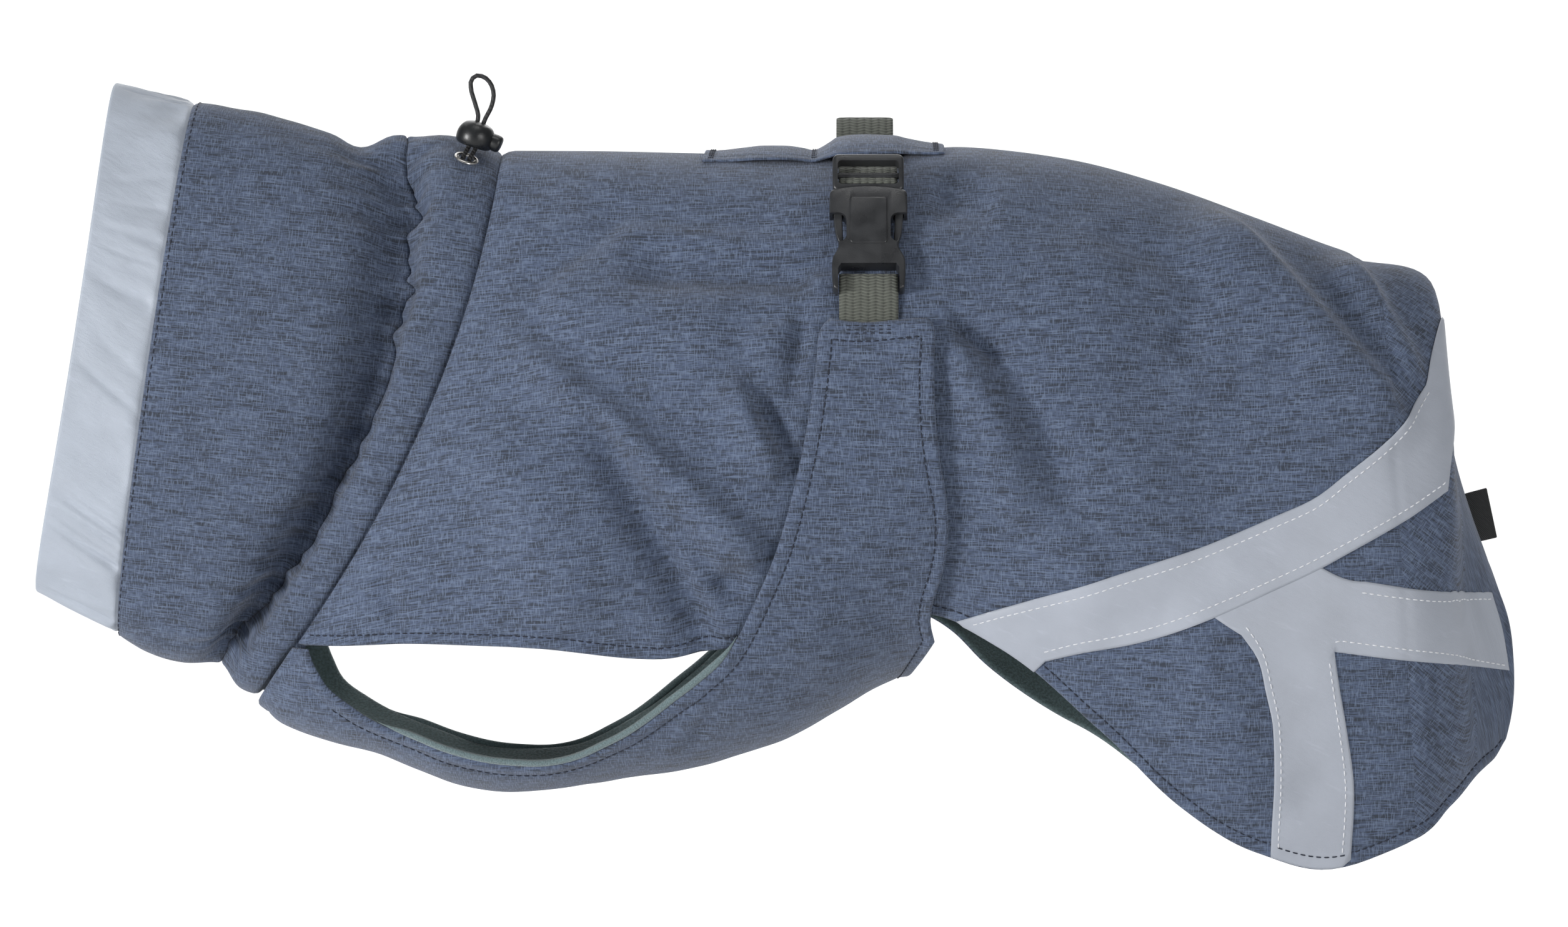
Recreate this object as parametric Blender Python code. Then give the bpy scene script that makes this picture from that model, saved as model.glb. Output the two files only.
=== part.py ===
"""Dog winter jacket, filled out as worn, head end at -X, near (left) side at -Y.

Every cloth piece is a wall between an outer set of points and the same points moved in.
Sizes in the tables and functions are millimetres, made into metres in build_object.
The origin is on the inner face of the back, at the withers.
"""
import math

import bpy
import numpy as np
from mathutils import Vector
from mathutils.geometry import delaunay_2d_cdt

MM = 0.001
ORIGIN = np.array([0.0, 0.0, -3.3])
SEAM = 0.3
WALL = 3.0
BAND_WALL = 1.8
TAPE_WALL = 0.9
TAPE_LIFT = 0.35
STRAP_LIFT = 2.7
STRAP_WALL = 2.8
ROLL_RADIUS = 1.4
SPINE_WALL = 1.8
WEB_WALL = 1.4
WEB_HALF = 12.1
CORD_RADIUS = 1.0

# How square the sections are (1 is an ellipse) and how grid rows crowd towards the spine.
SIDE_SHAPE = 0.8
CROWDING = 1.15

BODY_STEPS_ALONG = 29
GORE_STEPS_ALONG = 7
STEPS_DOWN = 18
COLLAR_STEPS_ROUND = 50
BELLY_SPACING = 12.0
BELLY_GIRTH = 82.0

# Rings of the collar, from the neck edge back to the neck seam.
# bow carries the ring's side forward (-) or back (+), half is half its width.
COLLAR_COLUMNS = ("name", "top_x", "top_z", "low_x", "low_z", "bow", "half")
COLLAR_ROWS = [
    ("band_edge", -227.0, 29.0, -261.0, -185.0, 3.5, 40.0),
    ("band_seam", -194.0, 21.0, -227.0, -203.0, 0.0, 42.0),
    ("front_fold", -156.0, 14.5, -214.0, -211.0, 8.0, 45.0),
    ("top_fold", -128.0, 3.2, -199.0, -215.0, 16.0, 47.0),
    ("crease", -104.0, 4.0, -184.0, -216.0, 25.0, 45.0),
    ("channel_mid", -84.0, 6.5, -175.0, -225.0, 22.0, 53.0),
    ("neck_seam", -64.0, 0.5, -166.0, -228.5, 19.0, 56.0),
]
BAND_SEAM_RING = 1
CREASE_RING = 4
NECK_RING = 6

# Gathers at the draw cord, as waves round the ring that fade away from the crease.
GATHER_WAVES = (13, 8)
GATHER_HEIGHTS = (0.9, 0.6)
GATHER_REACH = 16.0
CREASE_DEPTH = 3.0
CREASE_REACH = 9.0
COLLAR_FOLD = {"x0": -131.0, "z0": 8.0, "x1": -104.0, "z1": -14.0, "height": -3.5, "width": 8.0}

# Ribs of the body, from the neck seam back to the edge of the rear vent.
# wrap is the share of the whole section, spine to belly line, that the side panel covers.
RIB_COLUMNS = ("name", "top_x", "top_z", "hem_x", "hem_z", "wrap", "bow", "half")
RIB_ROWS = [
    ("neck", -64.0, 0.5, -155.8, -206.0, 0.90, 19.0, 57.0),
    ("neck_base", -46.0, 0.4, -133.0, -206.0, 0.86, 14.5, 66.0),
    ("shoulder", -29.0, 0.3, -108.0, -205.0, 0.835, 10.0, 72.0),
    ("chest", 13.0, -0.6, -50.0, -206.0, 0.781, 4.0, 84.0),
    ("ribcage", 52.0, -1.4, 5.0, -210.0, 0.816, 2.0, 88.0),
    ("strap_front", 92.0, -1.4, 56.0, -200.0, 0.818, 2.0, 87.0),
    ("strap_back", 131.0, 1.8, 113.0, -193.0, 0.895, 2.0, 84.0),
    ("loin", 171.0, -2.8, 142.0, -206.0, 0.83, 2.0, 81.0),
    ("flank", 210.0, -12.8, 181.0, -237.5, 0.76, 0.0, 81.0),
    ("hip", 250.0, -27.0, 216.0, -270.5, 0.72, 0.0, 83.0),
    ("thigh", 279.0, -38.0, 248.5, -290.0, 0.72, 0.0, 82.0),
    ("haunch", 290.0, -42.0, 277.0, -296.5, 0.72, 1.0, 79.0),
    ("gore_seam", 297.0, -45.5, 311.0, -284.9, 0.73, 3.0, 73.0),
    ("tail_corner", 325.5, -54.5, 329.5, -272.3, 0.74, 0.0, 60.0),
    ("rump", 331.5, -113.0, 341.5, -260.3, 0.77, 2.0, 43.0),
    ("vent_edge", 347.0, -169.0, 347.5, -251.0, 0.80, 12.0, 26.0),
]
GORE_SEAM_RIB = 12

# Soft folds of the body: crest line in side view, height out (+) or in (-),
# width ahead of and behind the crest, and how far its middle is bent back.
FOLD_COLUMNS = ("name", "x0", "z0", "x1", "z1", "height", "ahead", "behind", "bend")
FOLD_ROWS = [
    ("rump_pleat_front", 232.0, -28.0, 308.0, -115.0, 5.0, 26.0, 8.0, 4.0),
    ("rump_pleat_back", 288.0, -57.0, 316.0, -99.0, 4.0, 16.0, 6.0, 3.0),
    ("chest_ridge", -46.0, -84.0, 36.0, -170.0, 4.0, 11.0, 8.0, 4.0),
    ("chest_valley", -16.0, -116.0, 27.0, -202.0, -3.5, 8.0, 8.0, 0.0),
    ("strap_drag", 36.0, -98.0, 53.0, -138.0, 4.5, 10.0, 7.0, 0.0),
    ("back_valley", -25.0, -26.0, 76.0, -34.0, -2.5, 8.0, 12.0, 0.0),
    ("waist_valley", -6.0, -60.0, 72.0, -66.0, -3.0, 8.0, 10.0, 0.0),
    ("shoulder_soft", -40.0, -60.0, 30.0, -75.0, 2.5, 18.0, 20.0, -4.0),
    ("shoulder_low", -70.0, -120.0, -30.0, -190.0, 3.0, 18.0, 20.0, 5.0),
    ("loin_ridge_high", 113.0, -62.0, 160.0, -78.0, 2.8, 8.0, 11.0, 3.0),
    ("loin_ridge_low", 124.0, -80.0, 158.0, -150.0, 3.5, 13.0, 8.0, 4.0),
    ("flank_soft", 165.0, -40.0, 205.0, -150.0, 2.5, 24.0, 26.0, 6.0),
    ("flank_hollow", 190.0, -90.0, 240.0, -170.0, -2.5, 24.0, 26.0, 6.0),
    ("leg_soft", 225.0, -190.0, 246.0, -270.0, 2.5, 20.0, 20.0, 0.0),
]
# The far side's hem hangs lower behind the belly: angle, where along, and over what length.
FAR_HEM = (0.16, 272.0, 44.0)
FAR_FOLD_SHIFT = 6.0
FAR_FOLD_SHARE = 0.8

# Outline of the belly panel in side view: the leg opening's edge and the strap's front
# edge in one curve, the strap's end, and its back edge down to the belly.
BELLY_FRONT_EDGE = [
    (-141.0, -214.5), (-136.0, -224.0), (-124.0, -233.5), (-105.0, -243.5), (-86.0, -250.5),
    (-74.0, -254.3), (-58.0, -256.2), (-46.0, -255.9), (-34.0, -254.0), (-19.5, -247.8),
    (-4.0, -238.5), (9.0, -228.3), (21.7, -217.8), (30.0, -209.5), (36.0, -200.0), (42.5, -186.0),
    (49.5, -169.5), (55.5, -150.0), (60.5, -129.0), (64.5, -107.0), (67.0, -88.0), (69.5, -73.0),
    (72.5, -70.0),
]
BELLY_BACK_EDGE = [
    (112.0, -70.0), (115.0, -73.0), (115.0, -90.0), (115.5, -110.0), (117.5, -128.0), (120.5, -146.0),
    (121.0, -160.0), (118.5, -176.0), (115.0, -187.0), (114.0, -197.0), (115.5, -205.0),
]
# How far forward the panel's back edge is cut at the belly line.
BELLY_BACK_CUT = 9.0
ROLL_START_X = -118.0
ROLL_END_X = 36.0

# Reflective tape in side view. The long piece runs up to the tail, the branch butts below it.
STRIPE_UPPER = [
    (125.0, -195.0), (151.5, -186.5), (174.0, -180.0), (199.5, -172.0), (223.5, -164.0),
    (255.0, -151.0), (271.5, -143.5), (284.0, -134.0), (297.0, -124.0), (308.0, -113.0),
    (318.0, -98.0),
]
STRIPE_BACK_TOP_Z = (-84.0, -133.0)
STRIPE_LOWER = [
    (327.0, -141.5), (311.0, -152.0), (298.5, -159.0), (284.5, -166.5), (272.5, -173.0),
    (254.0, -181.5), (228.0, -193.0), (212.0, -199.0), (196.0, -203.5), (175.0, -206.0),
    (163.0, -206.5),
]
BRANCH_JOIN = (6, 5, 4)
BRANCH_GAP = 0.8
BRANCH_ARM_UPPER = [(291.5, -178.0), (317.0, -182.0), (333.5, -183.5), (349.0, -184.5)]
BRANCH_ARM_LOWER = [(356.0, -217.0), (326.0, -212.5), (300.0, -209.5), (278.5, -206.5)]
BRANCH_LEG_BACK = [(281.0, -223.5), (284.0, -240.0), (287.0, -262.0), (286.0, -292.0)]
BRANCH_LEG_FRONT = [
    (253.0, -292.0), (253.5, -262.0), (253.0, -238.0), (250.0, -223.0), (246.5, -209.0), (240.0, -199.5),
]
TAPE_INSET = 0.12

# The strap's webbing and buckle, as (y, z) in the plane x = STRAP_X, on the near side.
STRAP_X = 88.5
BUCKLE_TOP = (-59.0, -4.0)
BUCKLE_LOW = (-82.5, -59.5)
BUCKLE_HALF_THICK = 4.0
WEBBING_LOW_PATH = [
    (-78.4, -52.5), (-80.6, -60.0), (-81.3, -66.5), (-82.3, -73.0), (-83.4, -79.0), (-84.4, -85.0),
    (-85.4, -91.0),
]
WEBBING_TOP_PATH = [
    (-63.8, -15.0), (-60.2, -12.2), (-55.0, -8.0), (-47.0, -6.0), (-38.0, -5.3), (-31.0, -4.2),
    (-25.0, -2.4), (-13.0, -0.2), (0.0, 0.4), (13.0, -0.2), (25.0, -2.4), (31.0, -4.2), (35.0, -3.2),
    (38.0, 3.0), (40.5, 10.5), (44.0, 15.4), (48.0, 12.0), (50.8, 3.0), (53.6, -5.0), (60.2, -12.2),
    (63.8, -15.0),
]

# Parts of the buckle as (across, up from its low end); each list is one half.
PLUG_HALF = 14.6
PLUG_LENGTH = 16.5
PLUG_RAIL = 3.0
PLUG_ARM = [
    (10.3, 21.4), (12.2, 21.4), (13.4, 25.0), (14.1, 31.0), (14.3, 36.0), (14.3, 45.0), (10.7, 45.0),
    (10.7, 30.0),
]
SOCKET_HALF = [
    (14.0, 0.0), (14.6, 1.0), (14.7, 13.5), (13.2, 16.5), (12.2, 19.0), (12.6, 21.5), (15.6, 31.0),
    (15.9, 35.0), (15.8, 42.0), (15.2, 43.4),
]
MOUTH_HALF = [(12.5, -3.0), (12.5, 12.0), (11.2, 14.0)]
WINDOW_HALF = 12.5
NOTCH = (9.0, 18.0, 20.6, 33.5)
CREST = (7.6, 19.8, 40.6)

# The loop strip along the spine: how far it is held off the back, by x.
SPINE_X0 = 21.0
SPINE_X1 = 121.0
SPINE_HALF = 30.0
SPINE_EDGE_SHARE = 0.5
SPINE_LIFTS = [
    (21.0, 0.6), (26.0, 0.6), (37.0, 2.0), (45.0, 3.0), (56.0, 3.0), (62.0, 2.2), (67.0, 1.4),
    (70.0, 2.8), (73.5, 5.0), (76.5, 6.9), (100.5, 6.9), (107.0, 4.6), (114.0, 2.2), (121.0, 0.6),
]
SPINE_STEPS = (24, 6)

# The cord lock, its button and the eyelet: centre and the way each is turned.
TOGGLE_CENTRE = (-74.2, -25.0, 6.2)
TOGGLE_AXIS = (0.32, -0.05, 0.946)
TOGGLE_PROFILE = [
    (3.3, -5.0), (5.2, -5.3), (7.2, -4.4), (8.0, -2.6), (8.1, -0.4), (7.4, 2.1), (5.7, 4.3), (3.3, 5.3),
]
BUTTON_CENTRE = (-66.0, -25.8, 2.8)
BUTTON_AXIS = (0.9, -0.1, -0.42)
BUTTON_PROFILE = [(0.0, 0.0), (3.4, 0.0), (3.5, 3.4), (2.8, 4.4), (0.0, 4.6)]
EYELET_CENTRE = (-78.2, -27.8, -3.7)
EYELET_AXIS = (0.3, -0.4, 0.86)
EYELET_PROFILE = [(3.4, -0.5), (5.0, -0.5), (5.2, 0.1), (4.3, 0.6), (3.4, 0.3)]

# The free loop of draw cord: out of the eyelet, through the toggle, round and back.
CORD_ROUTE = [
    (-79.7, -27.7, -3.8), (-79.1, -27.0, -1.9), (-77.8, -24.9, 0.4), (-75.6, -25.0, 7.0),
    (-73.4, -25.3, 13.7), (-74.8, -25.4, 19.6), (-76.4, -25.4, 25.4), (-76.4, -25.4, 28.6),
    (-74.2, -25.4, 30.8), (-70.9, -25.4, 30.2), (-68.4, -25.4, 27.8), (-67.0, -25.4, 23.6),
    (-67.8, -25.4, 18.2), (-70.5, -25.3, 12.8), (-72.9, -25.0, 6.1), (-75.1, -24.9, -0.6),
    (-76.4, -27.0, -2.8), (-77.1, -27.7, -4.7),
]
CORD_SPACING = 2.0

SHELL_BLUE = ((0.105, 0.135, 0.24), 0.9)
TAPE_GREY = ((0.38, 0.41, 0.46), 0.5)
LINING_TEAL = ((0.16, 0.24, 0.24), 0.95)
WEBBING_OLIVE = ((0.09, 0.095, 0.085), 0.85)
PLASTIC_BLACK = ((0.03, 0.031, 0.032), 0.45)
STEEL = ((0.55, 0.55, 0.54), 0.3, 1.0)


def remove_everything():
    for item in list(bpy.data.objects):
        bpy.data.objects.remove(item, do_unlink=True)


def material(name, colour, roughness, metallic=0.0):
    made = bpy.data.materials.new(name)
    made.use_nodes = True
    shader = made.node_tree.nodes["Principled BSDF"]
    shader.inputs["Base Color"].default_value = (*colour, 1.0)
    shader.inputs["Roughness"].default_value = roughness
    shader.inputs["Metallic"].default_value = metallic
    return made


def build_object(name, points, faces, look):
    """An object from millimetre points and faces."""
    mesh = bpy.data.meshes.new(name)
    mesh.from_pydata([tuple(p) for p in (np.asarray(points, float) - ORIGIN) * MM], [], faces)
    mesh.materials.append(material(name + "_look", *look))
    mesh.shade_smooth()
    mesh.set_sharp_from_angle(angle=math.radians(50))
    made = bpy.data.objects.new(name, mesh)
    bpy.context.scene.collection.objects.link(made)
    return made


def ramp(value):
    value = np.clip(value, 0, 1)
    return value * value * (3 - 2 * value)


def slopes(knots, values):
    """Tangents through the values that don't overshoot them."""
    steps = np.diff(knots)
    rises = np.diff(values) / steps
    tangents = np.empty(len(values))
    tangents[0] = rises[0]
    tangents[-1] = rises[-1]
    for i in range(1, len(values) - 1):
        before, after = rises[i - 1], rises[i]
        mean = (before * steps[i] + after * steps[i - 1]) / (steps[i - 1] + steps[i])
        steady = before * after > 0
        limit = 3.0 * min(abs(before), abs(after)) if steady else 0.35 * max(abs(before), abs(after))
        tangents[i] = np.clip(mean, -limit, limit)
    return tangents


def smooth_through(knots, values, at):
    """A smooth curve through the values, read at the given places."""
    at = np.clip(np.asarray(at, float), knots[0], knots[-1])
    tangents = slopes(knots, values)
    i = np.clip(np.searchsorted(knots, at, side="right") - 1, 0, len(knots) - 2)
    step = knots[i + 1] - knots[i]
    u = (at - knots[i]) / step
    near_value = (2 * u**3 - 3 * u**2 + 1) * values[i]
    near_slope = (u**3 - 2 * u**2 + u) * step * tangents[i]
    far_value = (3 * u**2 - 2 * u**3) * values[i + 1]
    far_slope = (u**3 - u**2) * step * tangents[i + 1]
    return near_value + near_slope + far_value + far_slope


def smooth_path(points, spacing):
    """Points about one spacing apart on a smooth curve through the given ones."""
    points = np.asarray(points, float)
    knots = np.concatenate([[0.0], np.cumsum(np.linalg.norm(np.diff(points, axis=0), axis=1))])
    at = np.linspace(0, knots[-1], max(2, int(round(knots[-1] / spacing)) + 1))
    return np.stack([smooth_through(knots, points[:, k], at) for k in range(points.shape[1])], 1)


class Sections:
    """Sections set along the garment, each from a top point to a low point.

    Angle 0 is on the spine, pi on the belly line; positive angles are on the near side.
    """

    def __init__(self, rows, columns, low_names):
        self.values = {n: np.array([row[columns.index(n)] for row in rows], float) for n in columns[1:]}
        top = np.stack([self.values["top_x"], self.values["top_z"]], 1)
        low = np.stack([self.values[n] for n in low_names], 1)
        wrap = self.values.setdefault("wrap", np.ones(len(rows)))
        belly = top + (low - top) / wrap[:, None]
        self.values["belly_x"] = belly[:, 0]
        self.values["belly_z"] = belly[:, 1]
        middle = (top + low) / 2
        self.knots = np.concatenate([[0.0], np.cumsum(np.linalg.norm(np.diff(middle, axis=0), axis=1))])

    def read(self, name, along):
        return smooth_through(self.knots, self.values[name], along)

    def plain(self, along, angle):
        share = (1 - np.cos(angle)) / 2
        top_x = self.read("top_x", along)
        top_z = self.read("top_z", along)
        bow = self.read("bow", along) * np.sin(angle) ** 2
        x = top_x + (self.read("belly_x", along) - top_x) * share + bow
        z = top_z + (self.read("belly_z", along) - top_z) * share
        width = np.sign(np.sin(angle)) * np.abs(np.sin(angle)) ** SIDE_SHAPE
        return np.stack([x, -self.read("half", along) * width, z], -1)

    def hem_angle(self, along):
        return np.arccos(1 - 2 * self.read("wrap", along))

    def across(self, along):
        """Unit direction square to the section's plane, in side view."""
        x = self.read("belly_x", along) - self.read("top_x", along)
        z = self.read("belly_z", along) - self.read("top_z", along)
        long = np.hypot(x, z)
        return np.stack([-z / long, np.zeros_like(x), x / long], -1)


COLLAR = Sections(COLLAR_ROWS, COLLAR_COLUMNS, ("low_x", "low_z"))
BODY = Sections(RIB_ROWS, RIB_COLUMNS, ("hem_x", "hem_z"))
GORE_ALONG = BODY.knots[GORE_SEAM_RIB]
REAR_ALONG = BODY.knots[-1]


def outward(surface, along, angle, reach=1.5, turn=0.03):
    """Unit normals of a surface function, pointing out of the garment."""
    down = surface(along, angle + turn) - surface(along, angle - turn)
    back = surface(along + reach, angle) - surface(along - reach, angle)
    normal = np.cross(down, back)
    return normal / np.linalg.norm(normal, axis=-1, keepdims=True)


def in_section(sections, along, normal, share):
    """Normals with the given share of their lean out of the section's plane taken away."""
    across = sections.across(along)
    lean = np.sum(normal * across, -1, keepdims=True)
    flat = normal - share[..., None] * lean * across
    return flat / np.linalg.norm(flat, axis=-1, keepdims=True)


def fold_height(x, z, shift, share):
    """Height of all folds over the plain body, at points in side view."""
    total = np.zeros_like(x)
    for row in FOLD_ROWS:
        fold = dict(zip(FOLD_COLUMNS, row))
        start = np.array([fold["x0"] + shift, fold["z0"]])
        run = np.array([fold["x1"] + shift, fold["z1"]]) - start
        length = np.linalg.norm(run)
        way = run / length
        along = ((x - start[0]) * way[0] + (z - start[1]) * way[1]) / length
        side = (z - start[1]) * way[0] - (x - start[0]) * way[1]
        side = side - fold["bend"] * np.sin(np.pi * np.clip(along, 0, 1))
        width = np.where(side > 0, fold["behind"], fold["ahead"])
        ends = ramp(np.minimum(along, 1 - along) / 0.28 + 0.5)
        total += share * fold["height"] * ends * np.exp(-((side / width) ** 2))
    return total


def under_strap(x, z):
    """1 where the strap presses the cloth flat, 0 away from it."""
    return ramp(np.minimum(x - 50.0, 134.0 - x) / 12.0) * ramp((-z - 44.0) / 12.0)


def body_surface(along, angle):
    """Outer face of the body, folds and all."""
    along = np.clip(along, 0.0, BODY.knots[-1])
    point = BODY.plain(along, angle)
    x, z = point[..., 0], point[..., 2]
    near = fold_height(x, z, 0.0, 1.0)
    far = fold_height(x, z, FAR_FOLD_SHIFT, FAR_FOLD_SHARE)
    height = np.where(np.sin(angle) >= 0, near, far)
    height *= ramp(np.abs(np.sin(angle)) * 2.2)
    height *= ramp(along / 16.0) * ramp((REAR_ALONG - along) / 14.0)
    height *= 1 - under_strap(x, z)
    return point + outward(BODY.plain, along, angle) * height[..., None]


def collar_surface(along, angle):
    """Outer face of the collar, drawn in and gathered at the draw cord."""
    along = np.clip(along, 0.0, COLLAR.knots[-1])
    point = COLLAR.plain(along, angle)
    away = np.abs(along - COLLAR.knots[CREASE_RING])
    height = -CREASE_DEPTH * np.exp(-((away / CREASE_REACH) ** 2))
    height = height * ramp(0.1 + 1.6 * np.abs(np.sin(angle)))
    for waves, tall in zip(GATHER_WAVES, GATHER_HEIGHTS):
        wave = np.sin(waves * angle + 2.0 * np.sin(angle))
        height = height + tall * wave * np.exp(-away / GATHER_REACH)
    fold = COLLAR_FOLD
    run_x, run_z = fold["x1"] - fold["x0"], fold["z1"] - fold["z0"]
    run = math.hypot(run_x, run_z)
    from_x, from_z = point[..., 0] - fold["x0"], point[..., 2] - fold["z0"]
    share = (from_x * run_x + from_z * run_z) / run**2
    side = (from_z * run_x - from_x * run_z) / run
    ends = ramp(1.3 - share) * ramp(share + 0.6)
    height = height + fold["height"] * ends * np.exp(-((side / fold["width"]) ** 2))
    height = height * ramp((COLLAR.knots[-1] - along) / 10.0)
    return point + outward(COLLAR.plain, along, angle) * height[..., None]


def belly_surface(along, angle):
    """Outer face of the belly panel, which lies over the body as the strap."""
    along = np.clip(along, 0.0, BODY.knots[-1])
    lift = STRAP_WALL + SEAM + (STRAP_LIFT - SEAM) * ramp(along / 14.0)
    return BODY.plain(along, angle) + outward(BODY.plain, along, angle) * lift[..., None]


def locate(surface, x, z):
    """Along and angle at which a surface's near side shows a point of the side view."""
    along, angle = np.meshgrid(np.linspace(0, REAR_ALONG, 120), np.linspace(0.05, 3.09, 90))
    spread = surface(along, angle)
    nearest = np.argmin((spread[..., 0] - x) ** 2 + (spread[..., 2] - z) ** 2)
    here = np.array([along.flat[nearest], angle.flat[nearest]])
    steps = np.array([[0.5, 0.0], [-0.5, 0.0], [0.0, 0.01], [0.0, -0.01], [0.0, 0.0]])
    for _ in range(12):
        around = surface(here[0] + steps[:, 0], here[1] + steps[:, 1])[:, [0, 2]]
        slope = np.stack([around[0] - around[1], (around[2] - around[3]) / 0.02], 1)
        step = np.linalg.lstsq(slope, np.array([x, z]) - around[4], rcond=None)[0]
        here = np.clip(here + np.clip(step, [-8, -0.15], [8, 0.15]), [0.0, 0.03], [REAR_ALONG, 3.11])
    return here


def wall_faces(triangles, count):
    """The outer triangles, the same turned over for the inner face, and a rim round every edge."""
    sides = {(t[k], t[(k + 1) % 3]) for t in triangles for k in range(3)}
    faces = [tuple(t) for t in triangles]
    faces += [(a + count, c + count, b + count) for a, b, c in triangles]
    for a, b in sorted(sides):
        if (b, a) not in sides:
            faces.append((b, a, a + count))
            faces.append((b, a + count, b + count))
    return faces


def wall_object(name, outer, inner, triangles, look):
    outer = np.asarray(outer).reshape(-1, 3)
    inner = np.asarray(inner).reshape(-1, 3)
    return build_object(name, np.concatenate([outer, inner]), wall_faces(triangles, len(outer)), look)


def grid_triangles(rows, columns, closed=False, flip=False):
    """Triangles of a grid of points, the last column joined to the first when closed."""
    triangles = []
    for i in range(rows - 1):
        for j in range(columns if closed else columns - 1):
            a, b = i * columns + j, i * columns + (j + 1) % columns
            c, d = a + columns, b + columns
            triangles += [(a, d, b), (a, c, d)] if flip else [(a, b, d), (a, d, c)]
    return triangles


def collar_stretch(name, start, end, steps, wall, look):
    """A stretch of the collar, as a wall round open rings."""
    along = np.linspace(start + SEAM / 2, end - SEAM / 2, steps + 1)
    angle = np.linspace(-math.pi, math.pi, COLLAR_STEPS_ROUND, endpoint=False)
    along, angle = np.meshgrid(along, angle, indexing="ij")
    outer = collar_surface(along, angle)
    normal = in_section(COLLAR, along, outward(collar_surface, along, angle), np.ones_like(along))
    triangles = grid_triangles(steps + 1, COLLAR_STEPS_ROUND, closed=True)
    return wall_object(name, outer, outer - normal * wall, triangles, look)


def panel_grid(along, side):
    """Points and normals of a side panel, rows along the body, columns from spine to hem."""
    share = np.linspace(0, 1, STEPS_DOWN + 1) ** CROWDING
    hem = BODY.hem_angle(along)
    if side < 0:
        extra, centre, reach = FAR_HEM
        hem = hem + extra * np.exp(-(((along - centre) / reach) ** 2))
    angle = side * hem[:, None] * share[None, :]
    spread = np.repeat(along[:, None], STEPS_DOWN + 1, axis=1)
    normal = outward(body_surface, spread, angle)
    at_seam = np.maximum(1 - ramp(spread / 24.0), 1 - ramp(np.abs(spread - GORE_ALONG) / 14.0))
    return body_surface(spread, angle), in_section(BODY, spread, normal, at_seam)


def off_middle(points, side):
    """Points kept half a seam clear of the middle plane on their own side."""
    points = np.array(points)
    points[..., 1] = -side * np.maximum(-side * points[..., 1], SEAM / 2)
    return points


def side_panel(name, along, side, look):
    """A wall of the body on one side, from half a seam off the spine to the hem."""
    outer, normal = panel_grid(along, side)
    inner = off_middle(outer - normal * WALL, side)
    triangles = grid_triangles(len(along), STEPS_DOWN + 1, flip=side < 0)
    return wall_object(name, off_middle(outer, side), inner, triangles, look)


BODY_ALONG = np.linspace(SEAM / 2, GORE_ALONG, BODY_STEPS_ALONG + 1)
GORE_ALONGS = np.linspace(GORE_ALONG, REAR_ALONG, GORE_STEPS_ALONG + 1)
PANEL_ALONG = np.concatenate([BODY_ALONG, GORE_ALONGS[1:]])


def body_halves():
    body = BODY_ALONG.copy()
    body[-1] -= SEAM / 2
    gore = GORE_ALONGS.copy()
    gore[0] += SEAM / 2
    for side, word in ((1, "left"), (-1, "right")):
        side_panel("body_" + word, body, side, SHELL_BLUE)
        side_panel("rump_gore_" + word, gore, side, SHELL_BLUE)


def panel_place(x, z):
    """Row and column of the side panel's grid at a point in side view."""
    along, angle = locate(BODY.plain, x, z)
    row = np.interp(along, PANEL_ALONG, np.arange(len(PANEL_ALONG)))
    share = np.clip(angle / BODY.hem_angle(np.array(along)), 0, 1)
    return np.array([row, STEPS_DOWN * float(share) ** (1 / CROWDING)])


def inside(outline, point):
    """Whether a point lies inside a closed outline."""
    x, y = point
    hit = False
    for (x0, y0), (x1, y1) in zip(outline, np.roll(outline, -1, axis=0)):
        if (y0 > y) != (y1 > y) and x < (x1 - x0) * (y - y0) / (y1 - y0) + x0:
            hit = not hit
    return hit


def triangulate(points, edges, outline, tolerance):
    """Triangles of a flat outline that keep the given points and edges."""
    count = len(points)
    verts = [Vector(p) for p in list(points) + list(outline)]
    ring = [(count + k, count + (k + 1) % len(outline)) for k in range(len(outline))]
    made = delaunay_2d_cdt(verts, list(edges) + ring, [], 0, tolerance, False)
    flat = np.array([tuple(v) for v in made[0]])
    kept = []
    for face in made[2]:
        if inside(outline, flat[list(face)].mean(axis=0)):
            kept.append(face)
    used = sorted({k for face in kept for k in face})
    number = {old: new for new, old in enumerate(used)}
    triangles = []
    for face in kept:
        a, b, c = (number[k] for k in face)
        pa, pb, pc = flat[list(face)]
        turn = (pb[0] - pa[0]) * (pc[1] - pa[1]) - (pb[1] - pa[1]) * (pc[0] - pa[0])
        triangles.append((a, c, b) if turn > 0 else (a, b, c))
    return flat[used], triangles


def on_facets(grid, places):
    """Values on the panel's own flat triangles, at fractional rows and columns."""
    rows, columns = grid.shape[0] - 1, grid.shape[1] - 1
    i = np.clip(np.floor(places[:, 0] + 1e-9).astype(int), 0, rows - 1)
    j = np.clip(np.floor(places[:, 1] + 1e-9).astype(int), 0, columns - 1)
    u = (places[:, 0] - i)[:, None]
    v = (places[:, 1] - j)[:, None]
    a, b, c, d = grid[i, j], grid[i, j + 1], grid[i + 1, j], grid[i + 1, j + 1]
    lower = a * (1 - v) + b * (v - u) + d * u
    upper = a * (1 - u) + c * (u - v) + d * v
    return np.where(v >= u, lower, upper)


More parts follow.
